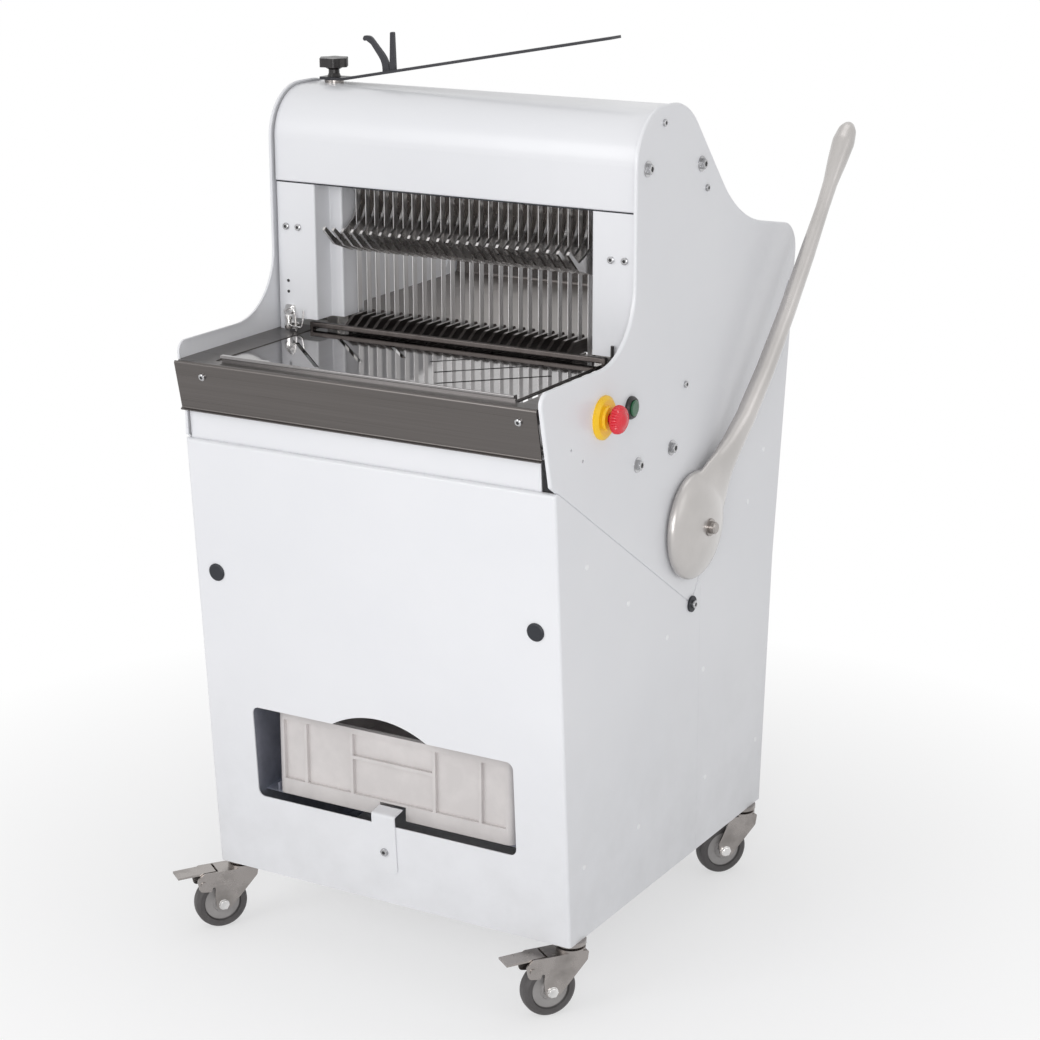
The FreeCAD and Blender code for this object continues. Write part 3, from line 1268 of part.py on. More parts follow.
round_long_edges(clip, "clip_corners", "d.clip_width / 5", is_foot_corner)
node(clip.body)
screw_face = front_at(d.clip_screw_height)
screw_gap = 0.1
clip_face = screw_face - clip_gap - screw_gap - d.skin / math.cos(math.radians(d.lean_angle))
stem = 8
stem_back = clip_face + stem * math.cos(math.radians(d.lean_angle))
stem_rise = stem * math.sin(math.radians(d.lean_angle))
cover_screws.append(rod("clip_screw", "6", "2.5", "0", "%.5f" % clip_face, "d.clip_screw_height",
                        forward(d.lean_angle)))
cover_screws.append(rod("clip_screw_stem", "3", str(stem), "0", "%.5f" % stem_back,
                        "d.clip_screw_height + %.5f" % stem_rise, forward(d.lean_angle)))
node(group("cover_screws", cover_screws))

# ---------------------------------------------------------------- castors

head_heads = []
names = ["front_left", "front_right", "back_left", "back_right"]
swivel = Rotation(Vector(0, 0, 1), -d.castor_turn)
axle_radius = 5
fork_top = 88
cheek = d.wheel_width / 2 + 3
for tag, (x, y) in zip(names, castor_spots):
    head = Piece("head_" + tag)
    head.turn([[(0, -10), (d.castor_head_radius - 4, -10), (d.castor_head_radius, -6), (d.castor_head_radius, 0),
                (bolt_radius - 0.3, 0), (bolt_radius - 0.3, d.floor_thickness + 10), (0, d.floor_thickness + 10)]], "V_Axis")
    head.place(str(x), str(y), "d.base_height")
    head_heads.append(head.body)

    fork = Piece("castor_fork_" + tag)
    fork.turn([[(0, 3), (d.castor_head_radius - 1, 3), (d.castor_head_radius - 1, 9.6), (0, 9.6)]], "V_Axis")
    trail = d.castor_trail
    drop = d.wheel_radius - fork_top
    if "front" in tag:
        fork_side = [(d.castor_head_radius - 2, 6, 3), (d.castor_head_radius - 4, -8, 8), (-trail + 12, drop - 6, 9),
                     (-trail - 10, drop - 10, 9), (-trail - 13, drop + 16, 4), (-trail - 12, -18, 2),
                     (-trail - 16, -18, 2), (-trail - 18, -25, 3), (-trail - 36, -22, 6), (-trail - 40, -2, 8),
                     (-trail - 28, 6, 3)]
    else:
        fork_side = [(d.castor_head_radius - 3, 6, 3), (16, -12, 10), (-trail + 10, drop - 9, 9),
                     (-trail - 10, drop - 9, 9), (-trail - 12, drop + 14, 6), (-d.castor_head_radius - 6, 6, 3)]
    fork.pad("YZ", [fork_side], "2 * %s" % (cheek + 2.5))
    if "front" in tag:
        fork.pad("YZ", [(-trail - 30, -11, 4.5)], "2 * %s" % (cheek + 4))
    far_out = d.wheel_radius * 4
    wheel_room = [(-far_out, -far_out), (far_out, -far_out), (far_out, 3), (-trail - 6, 3), (-trail - 6, far_out),
                  (-far_out, far_out)]
    fork.pocket("YZ", [wheel_room], "2 * %s" % cheek)
    fork.pad("YZ", [(-trail, drop, axle_radius)], "2 * %s" % (cheek + 5))
    fork.place(str(x), str(y), str(fork_top), swivel)
    node(fork.body)

    wheel = Piece("castor_wheel_" + tag)
    tread = d.wheel_width / 2
    wheel.turn([[(-tread, axle_radius + 0.05), (tread, axle_radius + 0.05), (tread, 13), (tread - 4, 15),
                 (tread - 4, 27), (tread - 1, 29), (tread - 1, d.wheel_radius - 5), (tread - 4, d.wheel_radius - 1),
                 (tread - 8, d.wheel_radius), (8 - tread, d.wheel_radius), (4 - tread, d.wheel_radius - 1),
                 (1 - tread, d.wheel_radius - 5), (1 - tread, 29), (4 - tread, 27), (4 - tread, 15), (-tread, 13)]])
    offset = swivel.multVec(Vector(0, -trail, 0))
    wheel.place(str(round(x + offset.x, 4)), str(round(y + offset.y, 4)), "d.wheel_radius", swivel)
    node(wheel.body)

    if "front" in tag:
        pedal = Piece("brake_pedal_" + tag)
        pedal_path = [(-18, 0.5), (-trail - 4, 0.5, 3), (-trail - 10, 7, 3), (-trail - 68, 5)]
        pedal.pad("YZ", [strip(pedal_path, 3)], "2 * %s" % (cheek - 1))
        pedal.pad("YZ", [[(-trail - 18, -4), (-trail - 12, -4), (-trail - 12, 5), (-trail - 18, 5)]], "20")
        pedal.pad("YZ", [(-28, -1.5, 4)], "2 * %s" % (cheek - 0.2))
        pedal.place(str(x), str(y), str(fork_top), swivel)
        node(pedal.body)
node(group("castor_heads", head_heads))

# ---------------------------------------------------------------- checks and files

doc.recompute()
faults = []
for thing in doc.Objects:
    if "Invalid" in thing.State or "Error" in thing.State:
        faults.append("%s: %s" % (thing.Name, thing.State))
for thing in nodes:
    shape = thing.Shape
    if shape.isNull() or not shape.isValid() or not shape.Solids:
        faults.append("%s: shape is null, not valid or holds no solid" % thing.Label)
if faults:
    raise RuntimeError("; ".join(faults))
for thing in nodes:
    thing.Shape.exportStep("parts/%s.step" % thing.Label)
    box_of = thing.Shape.BoundBox
    print("%-26s solids %2d  x %7.1f %7.1f  y %7.1f %7.1f  z %7.1f %7.1f"
          % (thing.Label, len(thing.Shape.Solids), box_of.XMin, box_of.XMax, box_of.YMin, box_of.YMax,
             box_of.ZMin, box_of.ZMax))
print(len(nodes), "sub-parts")
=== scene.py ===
import bmesh
import bpy
import json
import math
from mathutils import Matrix, Vector

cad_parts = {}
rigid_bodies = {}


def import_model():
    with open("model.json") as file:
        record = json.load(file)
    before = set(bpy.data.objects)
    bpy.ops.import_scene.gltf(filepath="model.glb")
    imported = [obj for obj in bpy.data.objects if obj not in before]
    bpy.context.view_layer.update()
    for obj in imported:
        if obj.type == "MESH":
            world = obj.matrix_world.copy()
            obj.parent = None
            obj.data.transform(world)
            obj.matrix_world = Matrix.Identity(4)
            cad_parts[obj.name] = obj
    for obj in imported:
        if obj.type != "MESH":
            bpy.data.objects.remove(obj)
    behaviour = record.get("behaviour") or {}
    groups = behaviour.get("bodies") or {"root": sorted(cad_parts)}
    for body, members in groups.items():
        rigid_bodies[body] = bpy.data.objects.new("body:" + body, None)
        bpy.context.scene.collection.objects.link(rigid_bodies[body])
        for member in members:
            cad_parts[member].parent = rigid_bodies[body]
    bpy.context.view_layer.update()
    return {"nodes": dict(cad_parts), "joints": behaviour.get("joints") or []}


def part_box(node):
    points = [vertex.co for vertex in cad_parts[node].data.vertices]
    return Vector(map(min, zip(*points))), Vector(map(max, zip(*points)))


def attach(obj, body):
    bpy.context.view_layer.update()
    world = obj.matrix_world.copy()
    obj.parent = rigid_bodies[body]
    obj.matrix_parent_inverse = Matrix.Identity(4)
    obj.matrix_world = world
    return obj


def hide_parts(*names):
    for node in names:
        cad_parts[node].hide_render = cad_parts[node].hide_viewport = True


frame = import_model()
nodes = frame["nodes"]

# ---------------------------------------------------------------- cabinet, head and hood
# Bent steel sheet with a cool white powder coat, baked on after folding. The coat is satin, with
# the fine orange-peel skin of sprayed powder, and made slightly greyer in broken patches towards the floor.


def effect(name, inputs, outputs):
    """An empty shader node group with named float, colour or vector sockets."""
    tree = bpy.data.node_groups.new(name, "ShaderNodeTree")
    for label, kind, value in inputs:
        socket = tree.interface.new_socket(label, in_out="INPUT", socket_type="NodeSocket" + kind)
        if value is not None:
            socket.default_value = value
    for label, kind in outputs:
        tree.interface.new_socket(label, in_out="OUTPUT", socket_type="NodeSocket" + kind)
    return tree, tree.nodes.new("NodeGroupInput"), tree.nodes.new("NodeGroupOutput")


def noise(tree, vector, scale, detail=3, roughness=0.5):
    """A noise texture in a tree, read at a vector socket."""
    texture = tree.nodes.new("ShaderNodeTexNoise")
    texture.inputs["Detail"].default_value = detail
    texture.inputs["Roughness"].default_value = roughness
    tree.links.new(vector, texture.inputs["Vector"])
    if hasattr(scale, "links"):
        tree.links.new(scale, texture.inputs["Scale"])
    else:
        texture.inputs["Scale"].default_value = scale
    return texture.outputs["Fac"]


def ranged(tree, value, low, high, to_low, to_high):
    """Maps a value from one range to another, clamped."""
    node = tree.nodes.new("ShaderNodeMapRange")
    tree.links.new(value, node.inputs["Value"])
    for label, number in (("From Min", low), ("From Max", high), ("To Min", to_low), ("To Max", to_high)):
        node.inputs[label].default_value = number
    return node.outputs["Result"]


def mixed(tree, factor, first, second, blend="MIX"):
    """Mixes two colours; each may be a socket or a plain colour."""
    node = tree.nodes.new("ShaderNodeMix")
    node.data_type = "RGBA"
    node.blend_type = blend
    for value, label in ((factor, "Factor"), (first, "A"), (second, "B")):
        socket = node.inputs[label]
        if hasattr(value, "links"):
            tree.links.new(value, socket)
        elif isinstance(value, (int, float)):
            socket.default_value = value
        else:
            socket.default_value = (*value, 1)
    return node.outputs["Result"]


def calculated(tree, operation, *values):
    """A math node on sockets or plain numbers."""
    node = tree.nodes.new("ShaderNodeMath")
    node.operation = operation
    for i, value in enumerate(values):
        if hasattr(value, "links"):
            tree.links.new(value, node.inputs[i])
        else:
            node.inputs[i].default_value = value
    return node.outputs["Value"]


def finish_of(name, metallic=0.0, roughness=0.5, coat=0.0, coat_roughness=0.1):
    """A new material with its Principled shader and the object's own coordinates."""
    material = bpy.data.materials.new(name)
    material.use_nodes = True
    tree = material.node_tree
    shader = tree.nodes["Principled BSDF"]
    shader.inputs["Metallic"].default_value = metallic
    shader.inputs["Roughness"].default_value = roughness
    shader.inputs["Coat Weight"].default_value = coat
    shader.inputs["Coat Roughness"].default_value = coat_roughness
    where = tree.nodes.new("ShaderNodeTexCoord").outputs["Object"]
    return material, tree, shader, where


def placed(tree, group, vector, **values):
    """Puts an effect in a material with its own values."""
    node = tree.nodes.new("ShaderNodeGroup")
    node.node_tree = group
    tree.links.new(vector, node.inputs["Vector"])
    for label, value in values.items():
        node.inputs[label.replace("_", " ")].default_value = value
    return node


def bumped(tree, shader, height, distance, strength=1.0):
    """Feeds a height into the shader's normal."""
    node = tree.nodes.new("ShaderNodeBump")
    node.inputs["Distance"].default_value = distance
    node.inputs["Strength"].default_value = strength
    tree.links.new(height, node.inputs["Height"])
    tree.links.new(node.outputs["Normal"], shader.inputs["Normal"])


def dress(material, *names):
    """Gives CAD nodes a material."""
    for name in names:
        slots = nodes[name].data.materials
        if not slots:
            slots.append(material)
        for i in range(len(slots)):
            slots[i] = material


def sprayed_skin():
    """Orange peel of a sprayed coat: a fine height, and a broad cloud for slight shifts of tone."""
    inputs = [("Vector", "Vector", None), ("Grain", "Float", 420.0), ("Cloud", "Float", 3.0)]
    tree, start, end = effect("sprayed skin", inputs, [("Height", "Float"), ("Cloud", "Float")])
    fine = noise(tree, start.outputs["Vector"], start.outputs["Grain"], detail=2, roughness=0.45)
    cloud = noise(tree, start.outputs["Vector"], start.outputs["Cloud"], detail=4, roughness=0.55)
    tree.links.new(fine, end.inputs["Height"])
    tree.links.new(cloud, end.inputs["Cloud"])
    return tree


SKIN = sprayed_skin()


def low_greying():
    """How much greyer and rougher a surface is made: most at the foot, broken up, none above a height."""
    inputs = [("Vector", "Vector", None), ("Top", "Float", 0.35), ("Amount", "Float", 0.3)]
    tree, start, end = effect("greying near the floor", inputs, [("Mask", "Float")])
    parts = tree.nodes.new("ShaderNodeSeparateXYZ")
    tree.links.new(start.outputs["Vector"], parts.inputs["Vector"])
    share = calculated(tree, "DIVIDE", parts.outputs["Z"], start.outputs["Top"])
    fade = ranged(tree, share, 0.2, 1.0, 1.0, 0.0)
    clumps = noise(tree, start.outputs["Vector"], 14, detail=6, roughness=0.6)
    patches = ranged(tree, clumps, 0.35, 0.75, 0.3, 1.0)
    mask = calculated(tree, "MULTIPLY", calculated(tree, "MULTIPLY", fade, patches), start.outputs["Amount"])
    tree.links.new(mask, end.inputs["Mask"])
    return tree


LOW_GREYING = low_greying()


def powder_coat(name, colour, shade):
    """White powder coat over bent steel."""
    material, tree, shader, where = finish_of(name, roughness=0.34, coat=0.25, coat_roughness=0.18)
    skin = placed(tree, SKIN, where)
    # Greyer and a little rougher in broken patches towards the floor.
    greying = placed(tree, LOW_GREYING, where, Top=0.45, Amount=0.35)
    low_grey = (0.50, 0.50, 0.50)
    tone = mixed(tree, ranged(tree, skin.outputs["Cloud"], 0.35, 0.7, 0.0, 1.0), colour, shade)
    tree.links.new(mixed(tree, greying.outputs["Mask"], tone, low_grey), shader.inputs["Base Color"])
    satin = ranged(tree, skin.outputs["Cloud"], 0.3, 0.7, 0.30, 0.38)
    dulled = calculated(tree, "MULTIPLY", greying.outputs["Mask"], 0.6)
    tree.links.new(calculated(tree, "ADD", satin, dulled), shader.inputs["Roughness"])
    bumped(tree, shader, skin.outputs["Height"], distance=0.00006)
    return material


WHITE_COAT = powder_coat("white powder coat", (0.815, 0.82, 0.845), (0.785, 0.792, 0.82))
dress(WHITE_COAT, "base_plate", "front_shell", "rear_shell", "front_rail", "side_plate_right",
      "side_plate_left", "hood_cover", "jamb_right", "jamb_left", "crate_clip", "bearing_channels",
      "motor_bracket")
# The rivets carry the same coat, made whiter here as a painted highlight for the light on their domed heads.
LIT_RIVET_COAT = powder_coat("rivet coat painted lighter", (0.93, 0.935, 0.95), (0.89, 0.895, 0.91))
dress(LIT_RIVET_COAT, "shell_rivets")

# ---------------------------------------------------------------- loading table
# Stainless sheet. The tray and its bent apron are brushed along the table's width; the plate on it
# is ground and polished, with faint scratches drawn towards the blades by thousands of loaves.


def brushed_grain():
    """Long fine streaks along one direction, as a height and as a mask for roughness."""
    inputs = [("Vector", "Vector", None), ("Stretch", "Vector", (6.0, 900.0, 900.0))]
    tree, start, end = effect("brushed grain", inputs, [("Height", "Float"), ("Streaks", "Float")])
    squeezed = tree.nodes.new("ShaderNodeVectorMath")
    squeezed.operation = "MULTIPLY"
    tree.links.new(start.outputs["Vector"], squeezed.inputs[0])
    tree.links.new(start.outputs["Stretch"], squeezed.inputs[1])
    fine = noise(tree, squeezed.outputs["Vector"], 1.0, detail=3, roughness=0.6)
    broad = noise(tree, squeezed.outputs["Vector"], 0.12, detail=2, roughness=0.5)
    both = calculated(tree, "MULTIPLY_ADD", fine, 0.6, calculated(tree, "MULTIPLY", broad, 0.4))
    tree.links.new(fine, end.inputs["Height"])
    tree.links.new(both, end.inputs["Streaks"])
    return tree


GRAIN = brushed_grain()


def brushed_steel(name, colour, bright, stretch, roughness):
    """Stainless or zinc sheet with a grain that runs along the axis of the smallest stretch."""
    material, tree, shader, where = finish_of(name, metallic=1.0)
    grain = placed(tree, GRAIN, where, Stretch=stretch)
    streaks = ranged(tree, grain.outputs["Streaks"], 0.35, 0.65, 0.0, 1.0)
    tree.links.new(mixed(tree, streaks, colour, bright), shader.inputs["Base Color"])
    uneven = ranged(tree, grain.outputs["Streaks"], 0.3, 0.7, *roughness)
    tree.links.new(uneven, shader.inputs["Roughness"])
    bumped(tree, shader, grain.outputs["Height"], distance=0.00002)
    return material


dress(brushed_steel("brushed stainless", (0.128, 0.118, 0.113), (0.155, 0.143, 0.138), stretch=(4, 700, 700),
                    roughness=(0.26, 0.34)), "infeed_tray")
dress(brushed_steel("polished stainless", (0.25, 0.24, 0.24), (0.29, 0.28, 0.28), stretch=(240, 9, 240),
                    roughness=(0.04, 0.10)), "table_plate")
# The outfeed tray and the blade comb are given a dark, dull stainless.
dress(brushed_steel("dark dull stainless", (0.15, 0.135, 0.128), (0.25, 0.23, 0.22), stretch=(500, 6, 500),
                    roughness=(0.3, 0.46)), "outfeed_tray", "blade_comb")

# ---------------------------------------------------------------- blades, their frames and the pusher
# Hardened stainless blades, bright along the ground edge, clamped in two plain steel frames. The
# pusher comb and its carriage are sheet stainless, coloured very dark and dull. The crate's runners are
# bent from galvanised sheet.

dress(brushed_steel("blade steel", (0.70, 0.69, 0.69), (0.86, 0.85, 0.85), stretch=(600, 600, 8),
                    roughness=(0.34, 0.46)), "front_blades", "back_blades")
dress(brushed_steel("frame steel", (0.38, 0.37, 0.36), (0.46, 0.45, 0.44), stretch=(8, 500, 500),
                    roughness=(0.28, 0.42)),
      "blade_frame_front", "blade_frame_back", "frame_guides", "carriage_rails")
dress(brushed_steel("galvanised sheet", (0.40, 0.42, 0.49), (0.52, 0.54, 0.61), stretch=(60, 60, 60),
                    roughness=(0.5, 0.62)), "crate_runners")
dress(brushed_steel("pusher steel", (0.085, 0.075, 0.07), (0.145, 0.13, 0.125), stretch=(500, 10, 500),
                    roughness=(0.28, 0.42)), "pusher_comb", "pusher_carriage")

# ---------------------------------------------------------------- hold-down comb
# Chrome-plated spring-steel fingers that hang from a shaft, one in each gap, with turned-up tips
# that ride on the loaf. The plating is bright, with hazy patches where hands have touched it.


def handled(name, colour, roughness, haze):
    """Bright metal with hazy, handled patches."""
    material, tree, shader, where = finish_of(name, metallic=1.0, roughness=roughness)
    skin = placed(tree, SKIN, where, Grain=300.0, Cloud=28.0)
    patches = ranged(tree, skin.outputs["Cloud"], 0.45, 0.7, 0.0, 1.0)
    dull = tuple(channel * 0.72 for channel in colour)
    tree.links.new(mixed(tree, patches, colour, dull), shader.inputs["Base Color"])
    tree.links.new(ranged(tree, patches, 0.0, 1.0, roughness, roughness + haze), shader.inputs["Roughness"])
    bumped(tree, shader, skin.outputs["Height"], distance=0.00001)
    return material


dress(handled("finger plating", (0.66, 0.645, 0.635), roughness=0.2, haze=0.14), "hold_down_comb")
CHROME = handled("bright plating", (0.80, 0.79, 0.78), roughness=0.12, haze=0.14)
dress(CHROME, "tray_catch")
BOLT_PLATING = handled("bolt plating", (0.50, 0.50, 0.51), roughness=0.14, haze=0.12)
dress(BOLT_PLATING, "tie_bars_and_bolts", "cover_screws")
ZINC = handled("satin zinc", (0.37, 0.345, 0.33), roughness=0.24, haze=0.16)
dress(ZINC, "lever_bushes", "castor_heads", "bag_pivot", "lever_shaft")

# ---------------------------------------------------------------- plastics and rubber
# Moulded plastics: yellow, green and black control parts, the black star knob, the ivory crumb
# crate, and black rubber plugs and washers. Each has a slight mould texture and a worn, uneven gloss.
# The bag arm's dark paint has the same texture.


def moulded(name, colour, roughness, depth=0.00004, coat=0.0):
    """Moulded plastic or rubber with a mould texture."""
    material, tree, shader, where = finish_of(name, roughness=roughness, coat=coat)
    skin = placed(tree, SKIN, where, Grain=700.0, Cloud=20.0)
    worn = tuple(min(1.0, channel * 1.12 + 0.01) for channel in colour)
    rubbed = ranged(tree, skin.outputs["Cloud"], 0.4, 0.75, 0.0, 1.0)
    gloss = ranged(tree, skin.outputs["Cloud"], 0.3, 0.7, roughness - 0.06, roughness + 0.06)
    tree.links.new(mixed(tree, rubbed, colour, worn), shader.inputs["Base Color"])
    tree.links.new(gloss, shader.inputs["Roughness"])
    bumped(tree, shader, skin.outputs["Height"], distance=depth)
    return material


dress(moulded("yellow plastic", (0.93, 0.56, 0.01), 0.32), "stop_collar")
dress(moulded("green plastic", (0.006, 0.10, 0.035), 0.28, coat=0.3), "start_button")
BLACK_PLASTIC = moulded("black plastic", (0.012, 0.010, 0.010), 0.34)
dress(BLACK_PLASTIC, "start_collar", "star_knob")
BLACK_RUBBER = moulded("black rubber", (0.014, 0.016, 0.022), 0.55, depth=0.00008)
dress(BLACK_RUBBER, "panel_plugs", "seam_washers", "drive_belt")
dress(moulded("pale plastic", (0.63, 0.60, 0.592), 0.42, depth=0.00005), "crumb_crate")
dress(moulded("dark grey paint", (0.022, 0.022, 0.028), 0.36), "bag_arm")

# ---------------------------------------------------------------- castors
# Pressed zinc forks on a ball-bearing head. Each wheel is a grey rubber tyre moulded on a paler nylon
# hub with a steel bearing tube, held by an axle bolt whose nut and washer sit outside the fork.


def round_axle():
    """Distance from an axle line, and the place along it, for rings on a wheel."""
    inputs = [("Vector", "Vector", None), ("Centre", "Vector", (0, 0, 0)), ("Axle", "Vector", (1, 0, 0))]
    tree, start, end = effect("rings about an axle", inputs, [("Radius", "Float"), ("Height", "Float")])
    offset = tree.nodes.new("ShaderNodeVectorMath")
    offset.operation = "SUBTRACT"
    tree.links.new(start.outputs["Vector"], offset.inputs[0])
    tree.links.new(start.outputs["Centre"], offset.inputs[1])
    along = tree.nodes.new("ShaderNodeVectorMath")
    along.operation = "PROJECT"
    tree.links.new(offset.outputs["Vector"], along.inputs[0])
    tree.links.new(start.outputs["Axle"], along.inputs[1])
    outward = tree.nodes.new("ShaderNodeVectorMath")
    outward.operation = "DISTANCE"
    tree.links.new(offset.outputs["Vector"], outward.inputs[0])
    tree.links.new(along.outputs["Vector"], outward.inputs[1])
    radius = outward.outputs["Value"]
    turns = calculated(tree, "SINE", calculated(tree, "MULTIPLY", radius, 4200.0))
    grain = noise(tree, start.outputs["Vector"], 500, detail=2, roughness=0.5)
    tree.links.new(radius, end.inputs["Radius"])
    tree.links.new(calculated(tree, "MULTIPLY_ADD", turns, 0.3, grain), end.inputs["Height"])
    return tree


RINGS = round_axle()
wheel_tube, wheel_hub = 0.0105, 0.0275


def tyred_wheel(name, centre, axle):
    """Grey tyre, a dark groove, a paler hub and a steel tube, one inside the other."""
    material, tree, shader, where = finish_of(name)
    rings = placed(tree, RINGS, where, Centre=centre, Axle=axle)
    skin = placed(tree, SKIN, where, Grain=600.0, Cloud=60.0)
    radius = rings.outputs["Radius"]
    on_hub = ranged(tree, radius, wheel_hub - 0.0003, wheel_hub + 0.0003, 1.0, 0.0)
    on_tube = ranged(tree, radius, wheel_tube - 0.0002, wheel_tube + 0.0002, 1.0, 0.0)
    # A dark ring is laid where the tyre meets the hub.
    groove = calculated(tree, "ABSOLUTE", calculated(tree, "SUBTRACT", radius, wheel_hub))
    groove_darkening = ranged(tree, groove, 0.0004, 0.0014, 0.75, 0.0)
    tyre = mixed(tree, skin.outputs["Cloud"], (0.055, 0.05, 0.05), (0.10, 0.095, 0.095))
    hub = mixed(tree, skin.outputs["Cloud"], (0.27, 0.26, 0.255), (0.38, 0.365, 0.36))
    tube, groove_dark = (0.55, 0.54, 0.53), (0.035, 0.033, 0.033)
    clean = mixed(tree, on_tube, mixed(tree, on_hub, tyre, hub), tube)
    tree.links.new(mixed(tree, groove_darkening, clean, groove_dark), shader.inputs["Base Color"])
    tree.links.new(ranged(tree, radius, wheel_tube, wheel_hub, 0.28, 0.52), shader.inputs["Roughness"])
    bumped(tree, shader, rings.outputs["Height"], distance=0.0001)
    return material


def added(name, shape, material, body):
    """A mesh piece that rides on a body, shaded smooth up to an edge angle."""
    mesh = bpy.data.meshes.new(name)
    bmesh.ops.recalc_face_normals(shape, faces=shape.faces)
    shape.to_mesh(mesh)
    shape.free()
    mesh.materials.append(material)
    for face in mesh.polygons:
        face.use_smooth = True
    mesh.set_sharp_from_angle(angle=math.radians(32))
    thing = bpy.data.objects.new(name, mesh)
    bpy.context.collection.objects.link(thing)
    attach(thing, body)
    return thing


def skinned(shape, loops, closed=True):
    """Joins loops of vertices by faces from the first to the last, and closes both ends."""
    for low, high in zip(loops, loops[1:]):
        for i in range(len(low)):
            after = (i + 1) % len(low)
            shape.faces.new((low[i], low[after], high[after], high[i]))
    if closed:
        shape.faces.new(loops[-1])
        shape.faces.new(reversed(loops[0]))


def turned_on(shape, rings, sides, centre, axis, closed=True):
    """Adds a turned form to a mesh: each ring is (place along the axis, radius at an angle)."""
    turn = Vector(axis).to_track_quat("Z", "Y").to_matrix().to_4x4()
    turn.translation = Vector(centre)
    loops = []
    for along, radius in rings:
        loop = []
        for i in range(sides):
            angle = 2 * math.pi * i / sides
            reach = radius(angle) if callable(radius) else radius
            spot = Vector((reach * math.cos(angle), reach * math.sin(angle), along))
            loop.append(shape.verts.new(turn @ spot))
        loops.append(loop)
    skinned(shape, loops, closed)


def hexagon(across):
    """The reach of a hexagon at an angle, from its size across the flats."""
    return lambda angle: across / 2 / math.cos(angle % (math.pi / 3) - math.pi / 6)


fork_face = 0.018
washer = [(0, 0.0082), (0.0008, 0.0082), (0.001, 0.0078)]
nut_top, nut_flats = 0.0036, hexagon(0.0135)
nut = [(0.001, nut_flats), (nut_top, nut_flats), (nut_top + 0.0007, 0.0058), (nut_top + 0.0007, 0.0044)]
for joint in frame["joints"]:
    if joint["name"].startswith("roll_"):
        corner = joint["name"][len("roll_"):]
        centre, axle = Vector(joint["pos_m"]), Vector(joint["axis"]).normalized()
        dress(ZINC, "castor_fork_" + corner)
        dress(tyred_wheel("wheel " + corner, centre, axle), "castor_wheel_" + corner)
        nuts = bmesh.new()
        for side in (-1, 1):
            face = centre + axle * (side * fork_face)
            turned_on(nuts, washer, 32, face, axle * side)
            turned_on(nuts, nut, 48, face, axle * side)
        added("axle_nuts_" + corner, nuts, CHROME, joint["parent"])
dress(ZINC, "brake_pedal_front_left", "brake_pedal_front_right")

# ---------------------------------------------------------------- bolt and screw sockets
# Plated cap screws hold the head together. Each head carries a chamfered rim round a hexagon socket,
# cold formed with it, and a near-black disc in each socket is painted shade.

# Near-black, as painted shade at the bottom of the sockets.
SOCKET_SHADE = moulded("shaded socket", (0.012, 0.012, 0.013), 0.5)


def socket_caps(name, centres, outward, radius, across):
    """Rims with a hexagon socket on several heads that face one way, and a painted-shade disc in each."""
    flats = hexagon(across)
    rim = [(0, radius), (0.0004, radius), (0.0009, radius * 0.84), (0.0009, flats), (0.0001, flats)]
    well = [(0.0001, flats), (0.00015, 0.0004)]
    rims, shade_wells = bmesh.new(), bmesh.new()
    for centre in centres:
        turned_on(rims, rim, 48, centre, outward, closed=False)
        turned_on(shade_wells, well, 48, centre, outward)
    added(name + "_rims", rims, BOLT_PLATING, "machine")
    added(name + "_wells", shade_wells, SOCKET_SHADE, "machine")


# How far out the faces of the heads on a side plate stand, and each head's depth and height.
bolt_face, bolts = 0.3062, [(-0.101, 1.163), (0.061, 1.149), (-0.121, 0.759), (-0.019, 0.760)]
screw_face, screws = 0.3024, [(-0.054, 1.219), (0.079, 1.113), (0.021, 0.843)]
seam_face, seam_bolts = 0.307, [(0.052, 0.508)]
for side, label in ((1, "right"), (-1, "left")):
    for kind, out, spots, radius, across in (("bolt_", bolt_face, bolts, 0.0064, 0.0068),
                                             ("screw_", screw_face, screws, 0.0049, 0.0046),
                                             ("seam_", seam_face, seam_bolts, 0.0058, 0.0056)):
        socket_caps(kind + label, [(side * out, y, z) for y, z in spots], (side, 0, 0), radius, across)
head_rise = 0.00128
apron_out, panel_out = Vector((0, -0.978, -0.208)), Vector((0, -0.9978, -0.0663))
apron_heads = [Vector((x, -0.36605, 0.86775)) + apron_out * head_rise for x in (-0.254, 0.254)]
clip_head = Vector((0, -0.31565, 0.18995)) + panel_out * head_rise
jamb_heads = [(x, -0.1245, 1.040) for x in (-0.278, -0.257, 0.257, 0.278)]
socket_caps("apron_screws", apron_heads, apron_out, 0.0047, 0.0044)
socket_caps("clip_screw", [clip_head], panel_out, 0.0056, 0.0050)
socket_caps("jamb_screws", jamb_heads, (0, -1, 0), 0.0048, 0.0044)

# ---------------------------------------------------------------- stop button
# A mushroom of red plastic on a stem, with a grooved rim to grip and a shallow ring pressed in its
# face. It moves in with the stem.


def grooved(radius, depth, count=28):
    """A radius with rounded grooves round it."""
    return lambda angle: radius - depth * (0.5 + 0.5 * math.cos(count * angle)) ** 2


button_low, button_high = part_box("stop_button")
button_middle = (button_low + button_high) / 2
button_radius = (button_high[1] - button_low[1]) / 2
stem = [(0, 0.0055), (0.022, 0.0055), (0.0235, 0.0125)]
